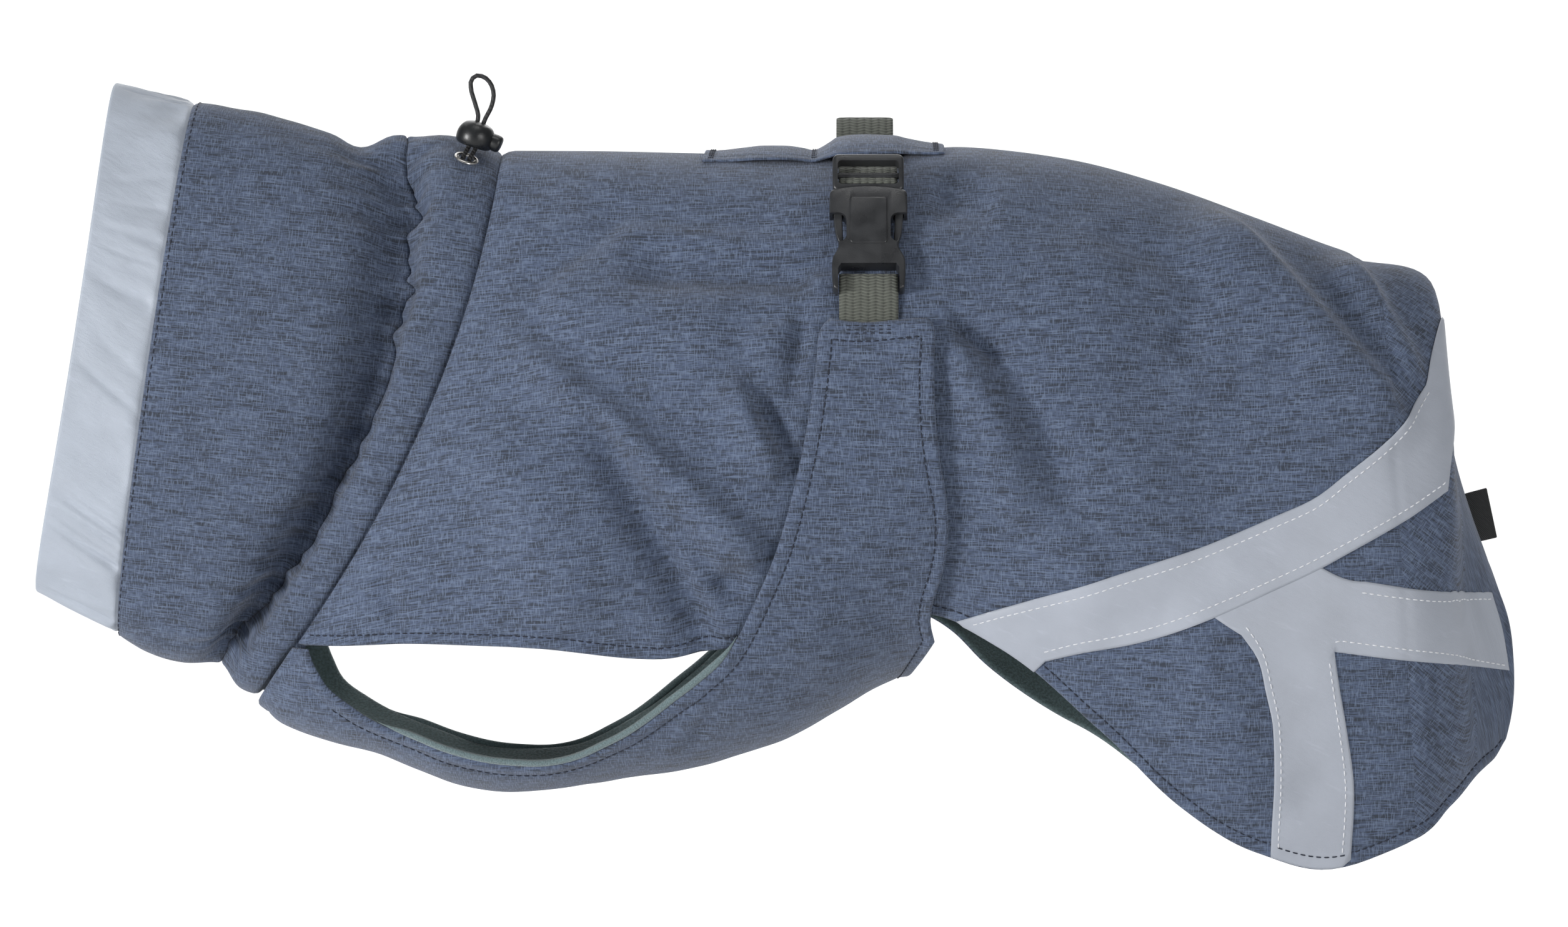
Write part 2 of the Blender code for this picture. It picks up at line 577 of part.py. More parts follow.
def tape(name, side, outline, look):
    """A thin piece cut to an outline of rows and columns, lying on the panel's own facets."""
    outline = np.array(outline)
    low = np.maximum(np.floor(outline.min(axis=0)).astype(int), 0)
    high = np.minimum(np.ceil(outline.max(axis=0)).astype(int), [len(PANEL_ALONG) - 1, STEPS_DOWN])
    tall, wide = high - low + 1
    points = [(low[0] + i, low[1] + j) for i in range(tall) for j in range(wide)]
    edges = []
    for i in range(tall):
        for j in range(wide):
            here = i * wide + j
            if i + 1 < tall:
                edges.append((here, here + wide))
            if j + 1 < wide:
                edges.append((here, here + 1))
            if i + 1 < tall and j + 1 < wide:
                edges.append((here, here + wide + 1))
    places, triangles = triangulate(points, edges, outline, 1e-4)
    if side < 0:
        triangles = [(a, c, b) for a, b, c in triangles]
    grid, normal = panel_grid(PANEL_ALONG, side)
    base = on_facets(off_middle(grid, side), places)
    out = on_facets(normal, places)
    inner = off_middle(base + out * TAPE_LIFT, side)
    outer = off_middle(base + out * (TAPE_LIFT + TAPE_WALL), side)
    return wall_object(name, outer, inner, triangles, look)


def along_at_top(z):
    """How far along the back seam falls to a height."""
    along = np.linspace(0, REAR_ALONG, 900)
    return along[np.argmin(np.abs(BODY.read("top_z", along) - z) + 400.0 * (along < GORE_ALONG))]


def hem_run(start, end, steps):
    """Places just above the hem between two places, end points left out."""
    rows = np.linspace(start[0], end[0], steps + 1)[1:-1]
    return [np.array([row, STEPS_DOWN - TAPE_INSET]) for row in rows]


def reflective_tape():
    last_row = len(PANEL_ALONG) - 1
    clamp_low = [TAPE_INSET, TAPE_INSET]
    clamp_high = [last_row - TAPE_INSET, STEPS_DOWN - TAPE_INSET]
    upper = [np.clip(panel_place(*p), clamp_low, clamp_high) for p in STRIPE_UPPER]
    lower = [np.clip(panel_place(*p), clamp_low, clamp_high) for p in STRIPE_LOWER]
    back = []
    for z in STRIPE_BACK_TOP_Z:
        row = np.interp(along_at_top(z), PANEL_ALONG, np.arange(last_row + 1))
        back.append(np.array([row, TAPE_INSET]))
    long_piece = upper + back + lower + hem_run(lower[-1], upper[0], 3)
    join = []
    for k in BRANCH_JOIN:
        x, z = STRIPE_LOWER[k]
        join.append(panel_place(x + BRANCH_GAP * 0.4, z - BRANCH_GAP))
    arm_upper = [panel_place(*p) for p in BRANCH_ARM_UPPER]
    arm_lower = [panel_place(*p) for p in BRANCH_ARM_LOWER]
    leg_back = [panel_place(*p) for p in BRANCH_LEG_BACK]
    leg_front = [panel_place(*p) for p in BRANCH_LEG_FRONT]
    branch = join + arm_upper + arm_lower + leg_back + hem_run(leg_back[-1], leg_front[0], 3) + leg_front
    branch = [np.clip(p, clamp_low, clamp_high) for p in branch]
    for side, word in ((1, "left"), (-1, "right")):
        tape("stripe_" + word, side, long_piece, TAPE_GREY)
        tape("stripe_branch_" + word, side, branch, TAPE_GREY)


def belly_outline():
    """The belly panel's edge as along and girth, near side first, then round the far side."""
    front = [locate(belly_surface, x, z) for x, z in smooth_path(BELLY_FRONT_EDGE, 9.0)]
    back = [locate(belly_surface, x, z) for x, z in smooth_path(BELLY_BACK_EDGE, 9.0)]
    seam = SEAM * 2 / BELLY_GIRTH
    neck = SEAM / 2
    start = np.array([neck, BODY.hem_angle(np.array(neck)) + seam])
    corner = np.array([front[0][0] * 0.5, BODY.hem_angle(np.array(front[0][0] * 0.5)) + seam])
    strap_end = [front[-1] + (back[0] - front[-1]) * k / 4 for k in (1, 2, 3)]
    near = [start, corner] + front + strap_end + back
    last_along, last_angle = back[-1]
    rear = []
    for share in (0.25, 0.5, 0.75, 1.0):
        angle = last_angle + (math.pi - last_angle) * share
        rear.append(np.array([last_along - BELLY_BACK_CUT * math.sin(math.pi / 2 * share), angle]))
    half = near + rear
    far = [np.array([p[0], 2 * math.pi - p[1]]) for p in half[-2::-1]]
    neck_run = [np.array([neck, a]) for a in np.linspace(far[-1][1], start[1], 9)[1:-1]]
    outline = np.array(half + far + neck_run)
    return outline * [1.0, BELLY_GIRTH], len(front)


def belly_panel():
    """One piece from the neck along the belly, with a strap up each side."""
    outline, front_count = belly_outline()
    closed = np.vstack([outline, outline[:1]])
    steps = np.linalg.norm(np.diff(closed, axis=0), axis=1)
    dense = []
    for k, length in enumerate(steps):
        parts = max(1, int(round(length / BELLY_SPACING)))
        dense += [closed[k] + (closed[k + 1] - closed[k]) * m / parts for m in range(parts)]
    dense = np.array(dense)
    low, high = dense.min(axis=0), dense.max(axis=0)
    filling = []
    row_step = BELLY_SPACING * math.sqrt(3) / 2
    middle = math.pi * BELLY_GIRTH
    rows = int((high[1] - middle) / row_step) + 1
    for r in range(-rows, rows + 1):
        y = middle + r * row_step
        for x in np.arange(low[0] + (r % 2) * BELLY_SPACING / 2, high[0], BELLY_SPACING):
            if inside(dense, (x, y)) and np.min(np.hypot(*(dense - [x, y]).T)) > BELLY_SPACING * 0.6:
                filling.append((x, y))
    places, triangles = triangulate(filling, [], dense, 1e-4)
    along, angle = places[:, 0], places[:, 1] / BELLY_GIRTH
    outer = belly_surface(along, angle)
    normal = in_section(BODY, along, outward(belly_surface, along, angle), 1 - ramp(along / 24.0))
    wall_object("belly_panel", outer, outer - normal * STRAP_WALL, triangles, SHELL_BLUE)
    edge = outline[2:2 + front_count] / [1.0, BELLY_GIRTH]
    for side, word in ((1, "left"), (-1, "right")):
        lining_roll("belly_lining_roll_" + word, edge, side)


def lining_roll(name, edge, side):
    """The lining's rolled edge, a bead just outside the leg opening's edge of the belly panel."""
    x = belly_surface(edge[:, 0], edge[:, 1])[:, 0]
    edge = edge[(x > ROLL_START_X) & (x < ROLL_END_X)]
    along, angle = edge[:, 0], edge[:, 1]
    outer = belly_surface(along, angle)
    normal = outward(belly_surface, along, angle)
    tangent = np.gradient(outer, axis=0)
    tangent /= np.linalg.norm(tangent, axis=1, keepdims=True)
    away = np.cross(normal, tangent)
    middle = outer - normal * STRAP_WALL * 0.55 + away * (SEAM + 0.2 + ROLL_RADIUS)
    sides = 6
    rings = []
    for k in range(sides):
        turn = 2 * math.pi * k / sides
        rings.append(middle + (away * math.cos(turn) + normal * math.sin(turn)) * ROLL_RADIUS)
    points = np.stack(rings, axis=1).reshape(-1, 3)
    if side < 0:
        points = points * [1, -1, 1]
    faces = grid_triangles(len(edge), sides, closed=True, flip=side < 0)
    faces += [tuple(range(sides))[::1 if side < 0 else -1]]
    last_ring = [(len(edge) - 1) * sides + k for k in range(sides)]
    faces += [tuple(last_ring[::-1 if side < 0 else 1])]
    build_object(name, points, faces, LINING_TEAL)


def spine_loop():
    """The strip over the spine, tacked down in three places and raised between them."""
    tops = np.linspace(0, GORE_ALONG, 400)
    x = np.linspace(SPINE_X0, SPINE_X1, SPINE_STEPS[0] + 1)
    along = np.interp(x, BODY.read("top_x", tops), tops)
    reach = np.arcsin((SPINE_HALF / BODY.read("half", along)) ** (1 / SIDE_SHAPE))
    across = np.linspace(-1, 1, SPINE_STEPS[1] + 1)
    angle = reach[:, None] * (np.sign(across) * np.abs(across) ** (1 / SIDE_SHAPE))[None, :]
    knots, lifts = np.array(SPINE_LIFTS).T
    lift = smooth_through(knots, lifts, x)[:, None] * (1 - (1 - SPINE_EDGE_SHARE) * across[None, :] ** 2)
    lift = np.maximum(lift, lifts[0])
    along = np.repeat(along[:, None], SPINE_STEPS[1] + 1, axis=1)
    normal = outward(BODY.plain, along, angle)
    inner = BODY.plain(along, angle) + normal * lift[..., None]
    triangles = grid_triangles(SPINE_STEPS[0] + 1, SPINE_STEPS[1] + 1)
    wall_object("spine_loop", inner + normal * SPINE_WALL, inner, triangles, SHELL_BLUE)


def flat_strap(name, path, side, look):
    """Webbing swept along a path in the (y, z) plane at the strap."""
    path = smooth_path(path, 5.0)
    along = np.gradient(path, axis=0)
    along /= np.linalg.norm(along, axis=1, keepdims=True)
    out = np.stack([along[:, 1], -along[:, 0]], 1)
    turned_over = out[0][0] > 0
    if turned_over:
        out = -out
    rings = []
    for across, lift in ((-WEB_HALF, 0.5), (WEB_HALF, 0.5), (WEB_HALF, -0.5), (-WEB_HALF, -0.5)):
        spot = path + out * lift * WEB_WALL
        rings.append(np.stack([np.full(len(path), STRAP_X + across), spot[:, 0] * side, spot[:, 1]], 1))
    points = np.stack(rings, axis=1).reshape(-1, 3)
    flip = (side > 0) != turned_over
    faces = grid_triangles(len(path), 4, closed=True, flip=flip)
    ends = [(0, 1, 2, 3), tuple(len(points) - 4 + k for k in (3, 2, 1, 0))]
    faces += ends if flip else [face[::-1] for face in ends]
    return build_object(name, points, faces, look)


def buckle_points(across, up, out, side):
    """World points of places on the buckle: across it, up from its low end, out from its middle."""
    low, top = np.array(BUCKLE_LOW), np.array(BUCKLE_TOP)
    axis = (top - low) / np.linalg.norm(top - low)
    face = np.array([-axis[1], axis[0]])
    yz = low + np.multiply.outer(up, axis) + np.multiply.outer(out, face)
    return np.stack([STRAP_X + np.asarray(across, float), yz[:, 0] * side, yz[:, 1]], 1)


def buckle_plate(name, outline, low_out, high_out, side, look):
    """An outline in the buckle's face, given as (across, up), made into a plate."""
    across = np.array([p[0] for p in outline])
    up = np.array([p[1] for p in outline])
    count = len(outline)
    back = buckle_points(across, up, np.full(count, low_out), side)
    front = buckle_points(across, up, np.full(count, high_out), side)
    faces = [tuple(range(count))[::-1], tuple(count + k for k in range(count))]
    faces += [(k, (k + 1) % count, count + (k + 1) % count, count + k) for k in range(count)]
    if side < 0:
        faces = [face[::-1] for face in faces]
    return build_object(name, np.concatenate([back, front]), faces, look)


def rounded(across0, across1, up0, up1, radius, steps=3):
    """A rectangle with round corners, as points in order."""
    points = []
    corners = ((across1, up0, -90), (across1, up1, 0), (across0, up1, 90), (across0, up0, 180))
    for a, u, turn in corners:
        centre_a = a - math.copysign(radius, a - (across0 + across1) / 2)
        centre_u = u - math.copysign(radius, u - (up0 + up1) / 2)
        for k in range(steps + 1):
            t = math.radians(turn + 90 * k / steps)
            points.append((centre_a + radius * math.cos(t), centre_u + radius * math.sin(t)))
    return points


def cut(target, cutter):
    """Take a hidden cutter out of an object."""
    cutter.hide_render = True
    cutter.display_type = "WIRE"
    step = target.modifiers.new("cut_" + cutter.name, "BOOLEAN")
    step.operation = "DIFFERENCE"
    step.object = cutter


def join(target, helper):
    """Add a hidden helper to an object."""
    helper.hide_render = True
    helper.display_type = "WIRE"
    step = target.modifiers.new("join_" + helper.name, "BOOLEAN")
    step.operation = "UNION"
    step.object = helper


def both_halves(half):
    """A closed outline from the half with positive across."""
    return half + [(-a, u) for a, u in half[::-1]]


def buckle(side, word):
    """A fastened side-release buckle: the plug above, the socket below."""
    length = float(np.linalg.norm(np.array(BUCKLE_TOP) - np.array(BUCKLE_LOW)))
    split = length - PLUG_LENGTH
    thick = BUCKLE_HALF_THICK
    through = thick + 2.0

    def plate(name, outline, low_out, high_out):
        return buckle_plate(name + word, outline, low_out, high_out, side, PLASTIC_BLACK)

    frame = rounded(-PLUG_HALF, PLUG_HALF, split, length, 2.5)
    plug = plate("buckle_plug_", frame, -thick * 0.8, thick * 0.8)
    window = rounded(-WINDOW_HALF, WINDOW_HALF, split + PLUG_RAIL, length - PLUG_RAIL, 1.2)
    cut(plug, plate("plug_window_", window, -through, through))
    socket = plate("buckle_socket_", both_halves(SOCKET_HALF), -thick, thick)
    cut(socket, plate("socket_mouth_", both_halves(MOUTH_HALF), -through, through))
    for hand, hand_word in ((-1, "front_"), (1, "back_")):
        arm = [(hand * a, u) for a, u in PLUG_ARM][::hand]
        join(plug, plate("plug_arm_" + hand_word, arm, -thick * 0.45, thick * 0.45))
        edge = sorted((hand * (PLUG_ARM[6][0] - SEAM - 0.2), hand * (PLUG_ARM[5][0] + SEAM)))
        slot = rounded(edge[0], edge[1], NOTCH[3] - 3.0, split + 3.0, 0.4)
        cut(socket, plate("socket_slot_" + hand_word, slot, -thick * 0.45 - SEAM, thick * 0.45 + SEAM))
        edge = sorted((hand * NOTCH[0], hand * NOTCH[1]))
        notch = rounded(edge[0], edge[1], NOTCH[2], NOTCH[3], 2.2)
        cut(socket, plate("socket_notch_" + hand_word, notch, -through, through))
    crest = rounded(-CREST[0], CREST[0], CREST[1], CREST[2], 1.0)
    join(socket, plate("socket_crest_", crest, thick - 1.0, thick + 0.5))


def webbing():
    for side, word in ((1, "left"), (-1, "right")):
        flat_strap("webbing_low_" + word, WEBBING_LOW_PATH, side, WEBBING_OLIVE)
        buckle(side, word)
    flat_strap("webbing_top", WEBBING_TOP_PATH, 1, WEBBING_OLIVE)


def turned(name, profile, centre, axis, segments, look):
    """A turned piece from (radius, height) points, solid where they start on the axis, else a ring."""
    up = Vector(axis).normalized()
    side = up.orthogonal().normalized()
    other = up.cross(side)
    solid = profile[0][0] == 0.0
    rim = profile[1:-1] if solid else profile
    points = []
    for k in range(segments):
        turn = 2 * math.pi * k / segments
        way = side * math.cos(turn) + other * math.sin(turn)
        points += [tuple(Vector(centre) + way * r + up * h) for r, h in rim]
    ring = len(rim)
    faces = []
    for k in range(segments):
        n = (k + 1) % segments
        for m in range(ring - 1 if solid else ring):
            w = (m + 1) % ring
            faces.append((k * ring + m, n * ring + m, n * ring + w, k * ring + w))
    if solid:
        faces.append(tuple(k * ring for k in range(segments))[::-1])
        points.append(tuple(Vector(centre) + up * profile[-1][1]))
        top = ring - 1
        for k in range(segments):
            faces.append((k * ring + top, (k + 1) % segments * ring + top, len(points) - 1))
    return build_object(name, points, faces, look)


def toggle_and_cord():
    """The cord lock on top of the cord channel, its eyelet and the free loop of cord."""
    turned("toggle", TOGGLE_PROFILE, TOGGLE_CENTRE, TOGGLE_AXIS, 20, PLASTIC_BLACK)
    turned("toggle_button", BUTTON_PROFILE, BUTTON_CENTRE, BUTTON_AXIS, 16, PLASTIC_BLACK)
    turned("eyelet", EYELET_PROFILE, EYELET_CENTRE, EYELET_AXIS, 20, STEEL)
    route = smooth_path(CORD_ROUTE, CORD_SPACING)
    curve = bpy.data.curves.new("drawcord", "CURVE")
    curve.dimensions = "3D"
    curve.bevel_depth = CORD_RADIUS * MM
    curve.bevel_resolution = 2
    curve.use_fill_caps = True
    spline = curve.splines.new("POLY")
    spline.points.add(len(route) - 1)
    for spot, point in zip(spline.points, (route - ORIGIN) * MM):
        spot.co = (*point, 1.0)
    curve.materials.append(material("drawcord_look", *PLASTIC_BLACK))
    bpy.context.scene.collection.objects.link(bpy.data.objects.new("drawcord", curve))


def label():
    """A short folded tab sewn into the back seam."""
    outline = [(340.6, -144.0), (350.0, -141.5), (354.5, -162.5), (345.9, -164.5)]
    points = [(x, y, z) for y in (-0.7, 0.7) for x, z in outline]
    faces = [(0, 3, 2, 1), (4, 5, 6, 7)]
    faces += [(k, (k + 1) % 4, 4 + (k + 1) % 4, 4 + k) for k in range(4)]
    build_object("label", points, faces, PLASTIC_BLACK)


def collar():
    rings = COLLAR.knots
    collar_stretch("collar_band", rings[0] - SEAM / 2, rings[BAND_SEAM_RING], 3, BAND_WALL, TAPE_GREY)
    collar_stretch("collar", rings[BAND_SEAM_RING], rings[CREASE_RING], 8, WALL, SHELL_BLUE)
    collar_stretch("cord_channel", rings[CREASE_RING], rings[NECK_RING], 5, WALL, SHELL_BLUE)


def main():
    remove_everything()
    collar()
    body_halves()
    belly_panel()
    reflective_tape()
    spine_loop()
    webbing()
    toggle_and_cord()
    label()


main()
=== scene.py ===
"""Dog winter jacket, the visual pieces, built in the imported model's frame.

Tables and functions work in millimetres with the head end at -X and the near side at -Y.
make_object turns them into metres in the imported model's frame.
"""
import math

import bpy
import numpy as np
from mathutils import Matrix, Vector
from mathutils.geometry import delaunay_2d_cdt


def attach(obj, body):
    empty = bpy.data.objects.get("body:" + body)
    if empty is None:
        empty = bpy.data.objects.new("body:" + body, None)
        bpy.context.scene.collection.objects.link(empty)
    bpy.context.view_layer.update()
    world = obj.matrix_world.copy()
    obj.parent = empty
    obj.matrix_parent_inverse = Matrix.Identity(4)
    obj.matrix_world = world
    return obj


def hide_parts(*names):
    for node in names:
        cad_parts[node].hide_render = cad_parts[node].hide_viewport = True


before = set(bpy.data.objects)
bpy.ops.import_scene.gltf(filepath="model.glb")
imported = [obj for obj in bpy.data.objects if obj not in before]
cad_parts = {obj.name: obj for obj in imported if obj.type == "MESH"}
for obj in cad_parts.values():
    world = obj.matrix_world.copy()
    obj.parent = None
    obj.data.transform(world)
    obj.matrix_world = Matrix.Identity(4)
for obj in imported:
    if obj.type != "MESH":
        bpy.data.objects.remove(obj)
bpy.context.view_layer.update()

MM = 0.001
ORIGIN = np.array([0.0, 0.0, -3.3])
SEAM = 0.3
WALL = 3.0
BAND_WALL = 1.8
STRAP_LIFT = 2.7
STRAP_WALL = 2.8
ROLL_RADIUS = 1.4
SPINE_WALL = 1.8
WEB_WALL = 1.4
WEB_HALF = 12.1
CORD_RADIUS = 1.0

# How square the sections are (1 is an ellipse).
SIDE_SHAPE = 0.8


# Rings of the collar, from the neck edge back to the neck seam.
# bow carries the ring's side forward (-) or back (+), half is half its width.
COLLAR_COLUMNS = ("name", "top_x", "top_z", "low_x", "low_z", "bow", "half")
COLLAR_ROWS = [
    ("band_edge", -227.0, 29.0, -261.0, -185.0, 3.5, 40.0),
    ("band_seam", -194.0, 21.0, -227.0, -203.0, 0.0, 42.0),
    ("front_fold", -156.0, 14.5, -214.0, -211.0, 8.0, 45.0),
    ("top_fold", -128.0, 3.2, -199.0, -215.0, 16.0, 47.0),
    ("crease", -104.0, 4.0, -184.0, -216.0, 25.0, 45.0),
    ("channel_mid", -84.0, 6.5, -175.0, -225.0, 22.0, 53.0),
    ("neck_seam", -64.0, 0.5, -166.0, -228.5, 19.0, 56.0),
]
BAND_SEAM_RING = 1
CREASE_RING = 4
NECK_RING = 6

# Gathers at the draw cord, as waves round the ring that fade away from the crease.
GATHER_WAVES = (13, 8)
GATHER_HEIGHTS = (0.9, 0.6)
GATHER_REACH = 16.0
CREASE_DEPTH = 3.0
CREASE_REACH = 9.0
COLLAR_FOLD = {"x0": -131.0, "z0": 8.0, "x1": -104.0, "z1": -14.0, "height": -3.5, "width": 8.0}

# Ribs of the body, from the neck seam back to the edge of the rear vent.
# wrap is the share of the whole section, spine to belly line, that the side panel covers.
RIB_COLUMNS = ("name", "top_x", "top_z", "hem_x", "hem_z", "wrap", "bow", "half")
RIB_ROWS = [
    ("neck", -64.0, 0.5, -155.8, -206.0, 0.90, 19.0, 57.0),
    ("neck_base", -46.0, 0.4, -133.0, -206.0, 0.86, 14.5, 66.0),
    ("shoulder", -29.0, 0.3, -108.0, -205.0, 0.835, 10.0, 72.0),
    ("chest", 13.0, -0.6, -50.0, -206.0, 0.781, 4.0, 84.0),
    ("ribcage", 52.0, -1.4, 5.0, -210.0, 0.816, 2.0, 88.0),
    ("strap_front", 92.0, -1.4, 56.0, -200.0, 0.818, 2.0, 87.0),
    ("strap_back", 131.0, 1.8, 113.0, -193.0, 0.895, 2.0, 84.0),
    ("loin", 171.0, -2.8, 142.0, -206.0, 0.83, 2.0, 81.0),
    ("flank", 210.0, -12.8, 181.0, -237.5, 0.76, 0.0, 81.0),
    ("hip", 250.0, -27.0, 216.0, -270.5, 0.72, 0.0, 83.0),
    ("thigh", 279.0, -38.0, 248.5, -290.0, 0.72, 0.0, 82.0),
    ("haunch", 290.0, -42.0, 277.0, -296.5, 0.72, 1.0, 79.0),
    ("gore_seam", 297.0, -45.5, 311.0, -284.9, 0.73, 3.0, 73.0),
    ("tail_corner", 325.5, -54.5, 329.5, -272.3, 0.74, 0.0, 60.0),
    ("rump", 331.5, -113.0, 341.5, -260.3, 0.77, 2.0, 43.0),
    ("vent_edge", 347.0, -169.0, 347.5, -251.0, 0.80, 12.0, 26.0),
]
GORE_SEAM_RIB = 12

# Soft folds of the body: crest line in side view, height out (+) or in (-),
# width ahead of and behind the crest, and how far its middle is bent back.
FOLD_COLUMNS = ("name", "x0", "z0", "x1", "z1", "height", "ahead", "behind", "bend")
FOLD_ROWS = [
    ("rump_pleat_front", 231.0, -29.0, 305.0, -113.0, 5.0, 24.0, 7.0, 1.5),
    ("rump_pleat_back", 285.0, -46.0, 313.0, -96.0, 3.6, 11.0, 6.0, 1.5),
    ("chest_ridge", -52.0, -83.0, 44.0, -167.0, 4.2, 10.0, 6.0, 2.0),
    ("chest_valley", -24.0, -110.0, 24.0, -203.0, -4.8, 9.0, 5.0, 0.0),
    ("chest_crease", -1.0, -141.0, 32.0, -184.0, -2.0, 3.5, 3.0, 0.0),
    ("chest_tuck", 30.0, -174.0, 48.0, -190.0, -2.5, 6.0, 5.0, 0.0),
    ("strap_drag", 33.0, -97.0, 52.0, -134.0, 4.2, 10.0, 4.5, 0.0),
    ("strap_pocket", 44.0, -106.0, 62.0, -131.0, -2.8, 4.0, 4.0, 0.0),
    ("strap_side", 62.0, -68.0, 60.0, -106.0, -3.0, 5.0, 5.0, 0.0),
    ("strap_pinch", 40.0, -80.0, 68.0, -70.0, 1.8, 8.0, 4.0, 0.0),
    ("back_valley", -25.0, -26.0, 76.0, -34.0, -1.5, 5.0, 10.0, 0.0),
    ("waist_valley", -6.0, -50.0, 74.0, -52.0, -4.0, 7.0, 11.0, 0.0),
    ("shoulder_soft", -40.0, -64.0, 30.0, -75.0, 2.2, 16.0, 14.0, -4.0),
    ("shoulder_streak", -54.0, -58.0, -14.0, -30.0, -1.6, 5.0, 6.0, 0.0),
    ("shoulder_low", -70.0, -120.0, -30.0, -190.0, 3.0, 18.0, 20.0, 5.0),
    ("hem_pinch", -112.0, -172.0, -106.0, -196.0, -1.2, 3.5, 3.5, 0.0),
    ("loin_trough_high", 104.0, -62.0, 143.0, -83.0, -4.0, 5.5, 5.5, 0.0),
    ("loin_trough_low", 138.0, -80.0, 172.0, -146.0, -2.0, 7.0, 6.0, 3.0),
    ("loin_ridge_low", 122.0, -84.0, 150.0, -150.0, 2.8, 9.0, 9.0, 4.0),
    ("loin_top", 116.0, -22.0, 140.0, -24.0, -1.6, 10.0, 12.0, 0.0),
    ("flank_top", 184.0, -36.0, 232.0, -62.0, -1.3, 7.0, 8.0, 2.0),
    ("flank_spot", 214.0, -74.0, 226.0, -84.0, -1.6, 9.0, 9.0, 0.0),
    ("haunch_spot", 254.0, -82.0, 266.0, -92.0, -1.4, 8.0, 8.0, 0.0),
    ("flank_low", 150.0, -140.0, 190.0, -190.0, 1.2, 10.0, 10.0, 0.0),
    ("flank_soft", 165.0, -40.0, 205.0, -150.0, 2.5, 24.0, 26.0, 6.0),
    ("flank_hollow", 190.0, -90.0, 240.0, -170.0, -2.5, 24.0, 26.0, 6.0),
    ("leg_soft", 225.0, -190.0, 246.0, -270.0, 2.5, 20.0, 20.0, 0.0),
]
# The far side's hem hangs lower behind the belly: angle, where along, and over what length.
FAR_HEM = (0.16, 272.0, 44.0)
FAR_FOLD_SHIFT = 6.0
FAR_FOLD_SHARE = 0.8

# Outline of the belly panel in side view: the leg opening's edge and the strap's front
# edge in one curve, the strap's end, and its back edge down to the belly.
BELLY_FRONT_EDGE = [
    (-141.0, -214.5), (-136.0, -224.0), (-124.0, -233.5), (-105.0, -243.5), (-86.0, -250.5),
    (-74.0, -254.3), (-58.0, -256.2), (-46.0, -255.9), (-34.0, -254.0), (-19.5, -247.8),
    (-4.0, -238.5), (9.0, -228.3), (21.7, -217.8), (30.0, -209.5), (36.0, -200.0), (42.5, -186.0),
    (49.5, -169.5), (55.5, -150.0), (60.5, -129.0), (64.5, -107.0), (67.0, -88.0), (69.5, -73.0),
    (72.5, -70.0),
]
BELLY_BACK_EDGE = [
    (112.0, -70.0), (115.0, -73.0), (115.0, -90.0), (115.5, -110.0), (117.5, -128.0), (120.5, -146.0),
    (121.0, -160.0), (118.5, -176.0), (115.0, -187.0), (114.0, -197.0), (115.5, -205.0),
]
# How far forward the panel's back edge is cut at the belly line.
BELLY_BACK_CUT = 9.0
ROLL_START_X = -118.0
ROLL_END_X = 36.0

# Reflective tape in side view. The long piece runs up to the tail, the branch butts below it.
STRIPE_UPPER = [
    (125.0, -195.0), (151.5, -186.5), (174.0, -180.0), (199.5, -172.0), (223.5, -164.0),
    (255.0, -151.0), (271.5, -143.5), (284.0, -134.0), (297.0, -124.0), (308.0, -113.0),
    (318.0, -98.0),
]
STRIPE_BACK_TOP_Z = (-84.0, -133.0)
STRIPE_LOWER = [
    (327.0, -141.5), (311.0, -152.0), (298.5, -159.0), (284.5, -166.5), (272.5, -173.0),
    (254.0, -181.5), (228.0, -193.0), (212.0, -199.0), (196.0, -203.5), (175.0, -207.5),
    (161.0, -211.0),
]
BRANCH_JOIN = (6, 5, 4)
BRANCH_ARM_UPPER = [(291.5, -178.0), (317.0, -182.0), (333.5, -183.5), (349.0, -184.5)]
BRANCH_ARM_LOWER = [(356.0, -217.0), (326.0, -212.5), (300.0, -209.5), (278.5, -206.5)]
BRANCH_LEG_BACK = [(281.0, -223.5), (284.0, -240.0), (287.0, -262.0), (286.0, -292.0)]
BRANCH_LEG_FRONT = [
    (253.0, -292.0), (253.5, -262.0), (253.0, -238.0), (250.0, -223.0), (246.5, -209.0), (240.0, -199.5),
]

# The strap's webbing and buckle, as (y, z) in the plane x = STRAP_X, on the near side.
STRAP_X = 88.5
BUCKLE_TOP = (-59.0, -4.0)
BUCKLE_LOW = (-82.5, -59.5)
BUCKLE_HALF_THICK = 4.0
WEBBING_LOW_PATH = [
    (-78.4, -52.5), (-80.6, -60.0), (-81.3, -66.5), (-82.3, -73.0), (-83.4, -79.0), (-84.4, -85.0),
    (-85.4, -91.0),
]
WEBBING_TOP_PATH = [
    (-63.8, -15.0), (-60.2, -12.2), (-55.0, -8.0), (-47.0, -6.0), (-38.0, -5.3), (-31.0, -4.2),
    (-25.0, -2.4), (-13.0, -0.2), (0.0, 0.4), (13.0, -0.2), (25.0, -2.4), (31.0, -4.2), (35.0, -3.2),
    (38.0, 3.0), (40.5, 10.5), (44.0, 15.4), (48.0, 12.0), (50.8, 3.0), (53.6, -5.0), (60.2, -12.2),
    (63.8, -15.0),
]

